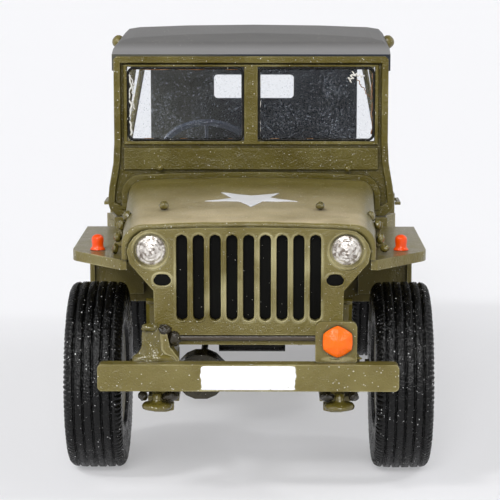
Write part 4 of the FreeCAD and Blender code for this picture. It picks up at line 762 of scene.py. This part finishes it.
# The horn stands in a flared pool of paint: each ring is an oval that wavers round its edge.
stations, finer = np.linspace(0, 1, len(HORN_RINGS)), np.linspace(0, 1, 46)
height, half_w, half_d, shift = (np.interp(finer, stations, column)[:, None]
                                 for column in zip(*HORN_RINGS))
turn = circle(48)[None, :]
waver = 1 + 0.05 * np.sin(3 * turn + 1.9 * height) + 0.03 * np.sin(7 * turn - 2.3 * height)
horn = shaped("bumper_horn", HORN_X + shift + half_w * waver * np.cos(turn),
              bumper_low[1] + HORN_BACK + half_d * waver * np.sin(turn), height,
              close_v=True, caps=True, flip=True)
dress(horn, wet_olive)

# A pin under each front spring eye, and a dull brown strip along the foot of the grille, painted shade
# under its lower edge.
for side, label in SIDES:
    foot = (side * PIN_X, bumper_low[1] + PIN_BACK, PIN_Z)
    dress(turned("spring_pin_" + label, PIN_RINGS, foot, (0, 0, 1), 40), wet_olive)
# painted shade: a dark strip where the grille's lower edge is in shadow
grille_foot_shade = brushed_enamel("grille_foot_shade", (0.060, 0.046, 0.030), (0.095, 0.075, 0.055),
                             roughness=0.45, relief=0.3, specks=0.02)
strip_x = np.linspace(-STRIP_HALF_W, STRIP_HALF_W, 30)
strip = bent_bar("grille_foot", [(x, grille_front + STRIP_BACK, STRIP_Z) for x in strip_x], STRIP_R)
dress(strip, grille_foot_shade)

# ================================================================ windshield
# The moulded frame is a darker olive, painted shade, darkest on the panel under its panes.
# The panes are clear styrene with black edges, dried glue at their outer sides and a film of dust.
PANEL_TOP, PANEL_SHADE, PANEL_SHADE_SHARE = 48.9, (0.045, 0.036, 0.004), 0.30
PANE, PANE_MIDDLE = (0.86, 0.88, 0.90), 1.25          # colour, and where a pane's inner side is
SEAL_IN, SEAL_CORNER, SEAL_R, SEAL_AHEAD = 0.18, 1.0, 0.24, 0.02
FILM, FILM_IN, FILM_AHEAD, FILM_THICK = (0.50, 0.56, 0.66), 0.15, 0.035, 0.02
GRAIN_MOST, SPECK_MOST = 0.13, 0.5                    # how much the dust hides
BEAD_AHEAD, BEAD_STEPS = 0.03, 60
# dried cement: start across and height, end across and height, waver, radius, finish
BEADS = ((-21.0, 51.0, -21.0, 61.6, 0.22, 0.20, 0), (-20.4, 55.5, -20.5, 61.0, 0.15, 0.12, 0),
         (-20.9, 50.35, -2.2, 50.3, 0.05, 0.11, 1), (2.0, 50.35, 20.8, 50.3, 0.05, 0.10, 1),
         (-20.6, 62.45, -2.0, 62.5, 0.05, 0.10, 1), (21.05, 51.2, 21.0, 61.8, 0.10, 0.12, 1),
         (1.55, 51.4, 1.6, 61.6, 0.06, 0.09, 0), (17.0, 60.4, 17.9, 61.9, 0.30, 0.12, 0),
         (17.9, 61.6, 19.6, 61.2, 0.18, 0.09, 0), (18.3, 60.8, 20.9, 57.2, 0.12, 0.07, 1))


def rounded_rectangle(x0, x1, z0, z1, corner, y):
    """Points round an upright rectangle with round corners, at one depth."""
    spots = []
    for cx, cz, start in ((x1 - corner, z1 - corner, 0), (x0 + corner, z1 - corner, 90),
                          (x0 + corner, z0 + corner, 180), (x1 - corner, z0 + corner, 270)):
        for a in np.radians(np.linspace(start, start + 90, 9)):
            spots.append((cx + corner * math.cos(a), y, cz + corner * math.sin(a)))
    return spots


shaded_screen_enamel = brushed_enamel("shaded_screen_enamel", (0.082, 0.064, 0.008), (0.120, 0.100, 0.022),
                               roughness=0.30, relief=0.50, specks=0.06, shine=0.12, coat=0.26,
                               edge=1.0)
screen_tree = shaded_screen_enamel.node_tree
# painted shade on the panel under the panes
below = math_node(screen_tree, "LESS_THAN", split(screen_tree)["Z"], PANEL_TOP * MM)
paint_over(shaded_screen_enamel, math_node(screen_tree, "MULTIPLY", below, PANEL_SHADE_SHARE), PANEL_SHADE)
coat_node("windshield_frame", shaded_screen_enamel, 0.18)
clear_pane = new_material("clear_pane", PANE, 0.03, IOR=1.25, Transmission_Weight=1.0)[0]
coat_node("windshield_panes", clear_pane)

# the film of dust is clear but for fine pale grains that gather in clouds
pane_dust, dust_tree, dust_shader = new_material("pane_dust", FILM, 0.6)
dust_place = place_in(dust_tree)
cloud = remap(dust_tree, noise(dust_tree, dust_place, 210.0, 4.0), 0.42, 0.68, 0.15, 1.0)
grain = remap(dust_tree, noise(dust_tree, dust_place, 3800.0, 2.0), 0.50, 0.72, 0.0, GRAIN_MOST)
fine_specks = add_node(dust_tree, "Group", {"Size": 5600.0, "Share": 0.10}, node_tree=SPECKS)["Mask"]
clouded = math_node(dust_tree, "MULTIPLY", cloud, grain)
hidden = math_node(dust_tree, "MULTIPLY_ADD", fine_specks, SPECK_MOST, clouded)
connect(dust_tree, dust_shader, {"Alpha": hidden})

pane_low, pane_high = box_mm("windshield_panes")
for side, label in SIDES:
    x0, x1 = sorted((side * PANE_MIDDLE, side * pane_high[0]))
    seal_path = rounded_rectangle(x0 + SEAL_IN, x1 - SEAL_IN, pane_low[2] + SEAL_IN,
                                  pane_high[2] - SEAL_IN, SEAL_CORNER, pane_low[1] - SEAL_AHEAD)
    dress(bent_bar("pane_edge_" + label, seal_path, SEAL_R, closed=True), black_enamel)
for side, label in SIDES:
    # the film's cross-section is a thin upright rectangle, carried across the pane
    x0, x1 = sorted((side * (PANE_MIDDLE + FILM_IN), side * (pane_high[0] - FILM_IN)))
    height = pane_low[2] + FILM_IN + np.array([0, 1, 1, 0]) * (pane_high[2] - pane_low[2] - 2 * FILM_IN)
    ahead = pane_low[1] - FILM_AHEAD - FILM_THICK * np.array([0, 0, 1, 1])
    film = shaped("pane_film_" + label, np.array([[x0], [x1]]), ahead, height, close_v=True, caps=True,
                  flip=True)
    dress(film, pane_dust)

# Each bead of cement wavers by two sines on its way from one point to another.
dried_glue = brushed_enamel("dried_glue", (0.60, 0.58, 0.52), (0.80, 0.79, 0.76), roughness=0.15,
                            relief=0.5, specks=0.0, shine=0.6)
brown_glue = brushed_enamel("brown_glue", (0.16, 0.06, 0.015), (0.35, 0.20, 0.09), roughness=0.12,
                            relief=0.5, specks=0.0, shine=0.6)
along = np.linspace(0, 1, BEAD_STEPS)
for k, (x0, z0, x1, z1, waver, radius, finish) in enumerate(BEADS):
    sway = waver * (np.sin(17 * along + k) + 0.6 * np.sin(41 * along + 2 * k))
    length = math.hypot(x1 - x0, z1 - z0)
    path = np.stack([x0 + (x1 - x0) * along + sway * (z1 - z0) / length,
                     np.full(BEAD_STEPS, pane_low[1] - BEAD_AHEAD),
                     z0 + (z1 - z0) * along - sway * (x1 - x0) / length], axis=-1)
    dress(bent_bar("pane_glue_" + str(k + 1), path, radius, sides=8), (dried_glue, brown_glue)[finish])

# ================================================================ soft top
# Moulded plastic painted a dull dark grey, brushed across, and paler along its front edge by a
# painted reflection.  Its inside, which faces forwards or down, is darkened by painted shade.
TOP_GREY, TOP_PALE, TOP_FRONT_SHEEN = (0.085, 0.083, 0.080), (0.12, 0.117, 0.112), (0.205, 0.202, 0.202)
SHEEN_FROM, SHEEN_TO = 14.0, 6.0                        # back from the front edge
LINING_LIT, LINING_DARK = (0.070, 0.070, 0.055), (0.016, 0.020, 0.028)
LIT_TO, DARK_FROM = -14, -2                           # across, where the painted light and shade of the inside lie
FORWARDS, DOWN = -0.6, -0.4                           # what looks further that way is the inside, in painted shade
# the glued ends of the rear bow: their middle, and half sizes
KNOB_X, KNOB_BACK, KNOB_Z = 26.9, 103.6, 64.6
KNOB_W, KNOB_D, KNOB_H = 1.30, 1.5, 1.25

top_grey = brushed_enamel("top_grey", TOP_GREY, TOP_PALE, roughness=0.55, relief=0.05, specks=0.01,
                          shine=0.22, coat=0.08)
top_tree = top_grey.node_tree
top_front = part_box("canvas_top")[0][1]
top_place, facing = split(top_tree), split(top_tree, "Normal")
# painted reflection: paler along the front edge
front_sheen = remap(top_tree, top_place["Y"], top_front + SHEEN_FROM * MM, top_front + SHEEN_TO * MM)
paint_over(top_grey, front_sheen, TOP_FRONT_SHEEN)
# painted light and shade on the inside: lighter towards one side, dark beyond
shaded = remap(top_tree, top_place["X"], LIT_TO * MM, DARK_FROM * MM)
inside_light_and_shade = mix(top_tree, shaded, LINING_LIT, LINING_DARK)
forwards = math_node(top_tree, "LESS_THAN", facing["Y"], FORWARDS)
down = math_node(top_tree, "LESS_THAN", facing["Z"], DOWN)
paint_over(top_grey, math_node(top_tree, "MAXIMUM", forwards, down), inside_light_and_shade)
coat_node("canvas_top", top_grey, 0.35)
for side, label in SIDES:
    knob = shaped("roof_knob_" + label, side * (KNOB_X + KNOB_W * np.sin(north) * np.cos(round_it)),
                  bumper_low[1] + KNOB_BACK + KNOB_D * np.sin(north) * np.sin(round_it),
                  KNOB_Z + KNOB_H * np.cos(north) * (1 + 0.1 * np.sin(3 * round_it)), close_v=True,
                  caps=True, flip=side < 0)
    dress(knob, olive_enamel)

# ================================================================ steering wheel
# A thin rim on three spokes at the top of its column, moulded in one piece of glossy
# black plastic, left unpainted and lightened to blue-grey by a painted reflection.
sheened_wheel_plastic = brushed_enamel("sheened_wheel_plastic", (0.080, 0.094, 0.125), (0.105, 0.120, 0.155),
                               roughness=0.22, relief=0.02, specks=0.0, shine=0.6, coat=0.6)
coat_node("steering_wheel", sheened_wheel_plastic, 0.25)

# ================================================================ wheel nuts
# Five nuts round each hub on a raised ring, moulded with the olive rim: the height over a
# flat ring is a steep bell at the distance from the nearest nut, and an underside closes it.
NUTS, NUT_CIRCLE, NUT_R, NUT_HIGH = 5, 3.55, 0.50, 0.55
RING_IN, RING_OUT, RING_HIGH, DISC_OUT, RING_SUNK = 2.42, 4.75, 0.12, 1.2, 0.3

out, turn = grid(np.linspace(RING_IN, RING_OUT, 26), circle(180))
nearest = np.round(turn / (2 * np.pi / NUTS)) * (2 * np.pi / NUTS)
away = np.hypot(out * np.cos(turn) - NUT_CIRCLE * np.cos(nearest),
                out * np.sin(turn) - NUT_CIRCLE * np.sin(nearest))
edge_fall = np.clip(np.minimum(out - RING_IN, RING_OUT - out) / 0.2, 0, 1)
rise = RING_HIGH * edge_fall + NUT_HIGH * np.exp(-(away / NUT_R) ** 8)
for wheel in WHEELS:
    low, high = box_mm("rim_" + wheel)
    middle = (low + high) / 2
    way = 1 if wheel.endswith("left") else -1             # which way its outer face looks
    beyond = np.concatenate([DISC_OUT + rise, np.full(rise.shape, DISC_OUT - RING_SUNK)])
    radius = np.concatenate([out, out[::-1]])
    nuts = shaped("rim_" + wheel + "_nuts", way * beyond + middle[0],
                  radius * np.cos(turn[0]) + middle[1], radius * np.sin(turn[0]) + middle[2],
                  close_u=True, close_v=True, flip=way < 0)
    dress(nuts, olive_enamel, "wheel_" + wheel)
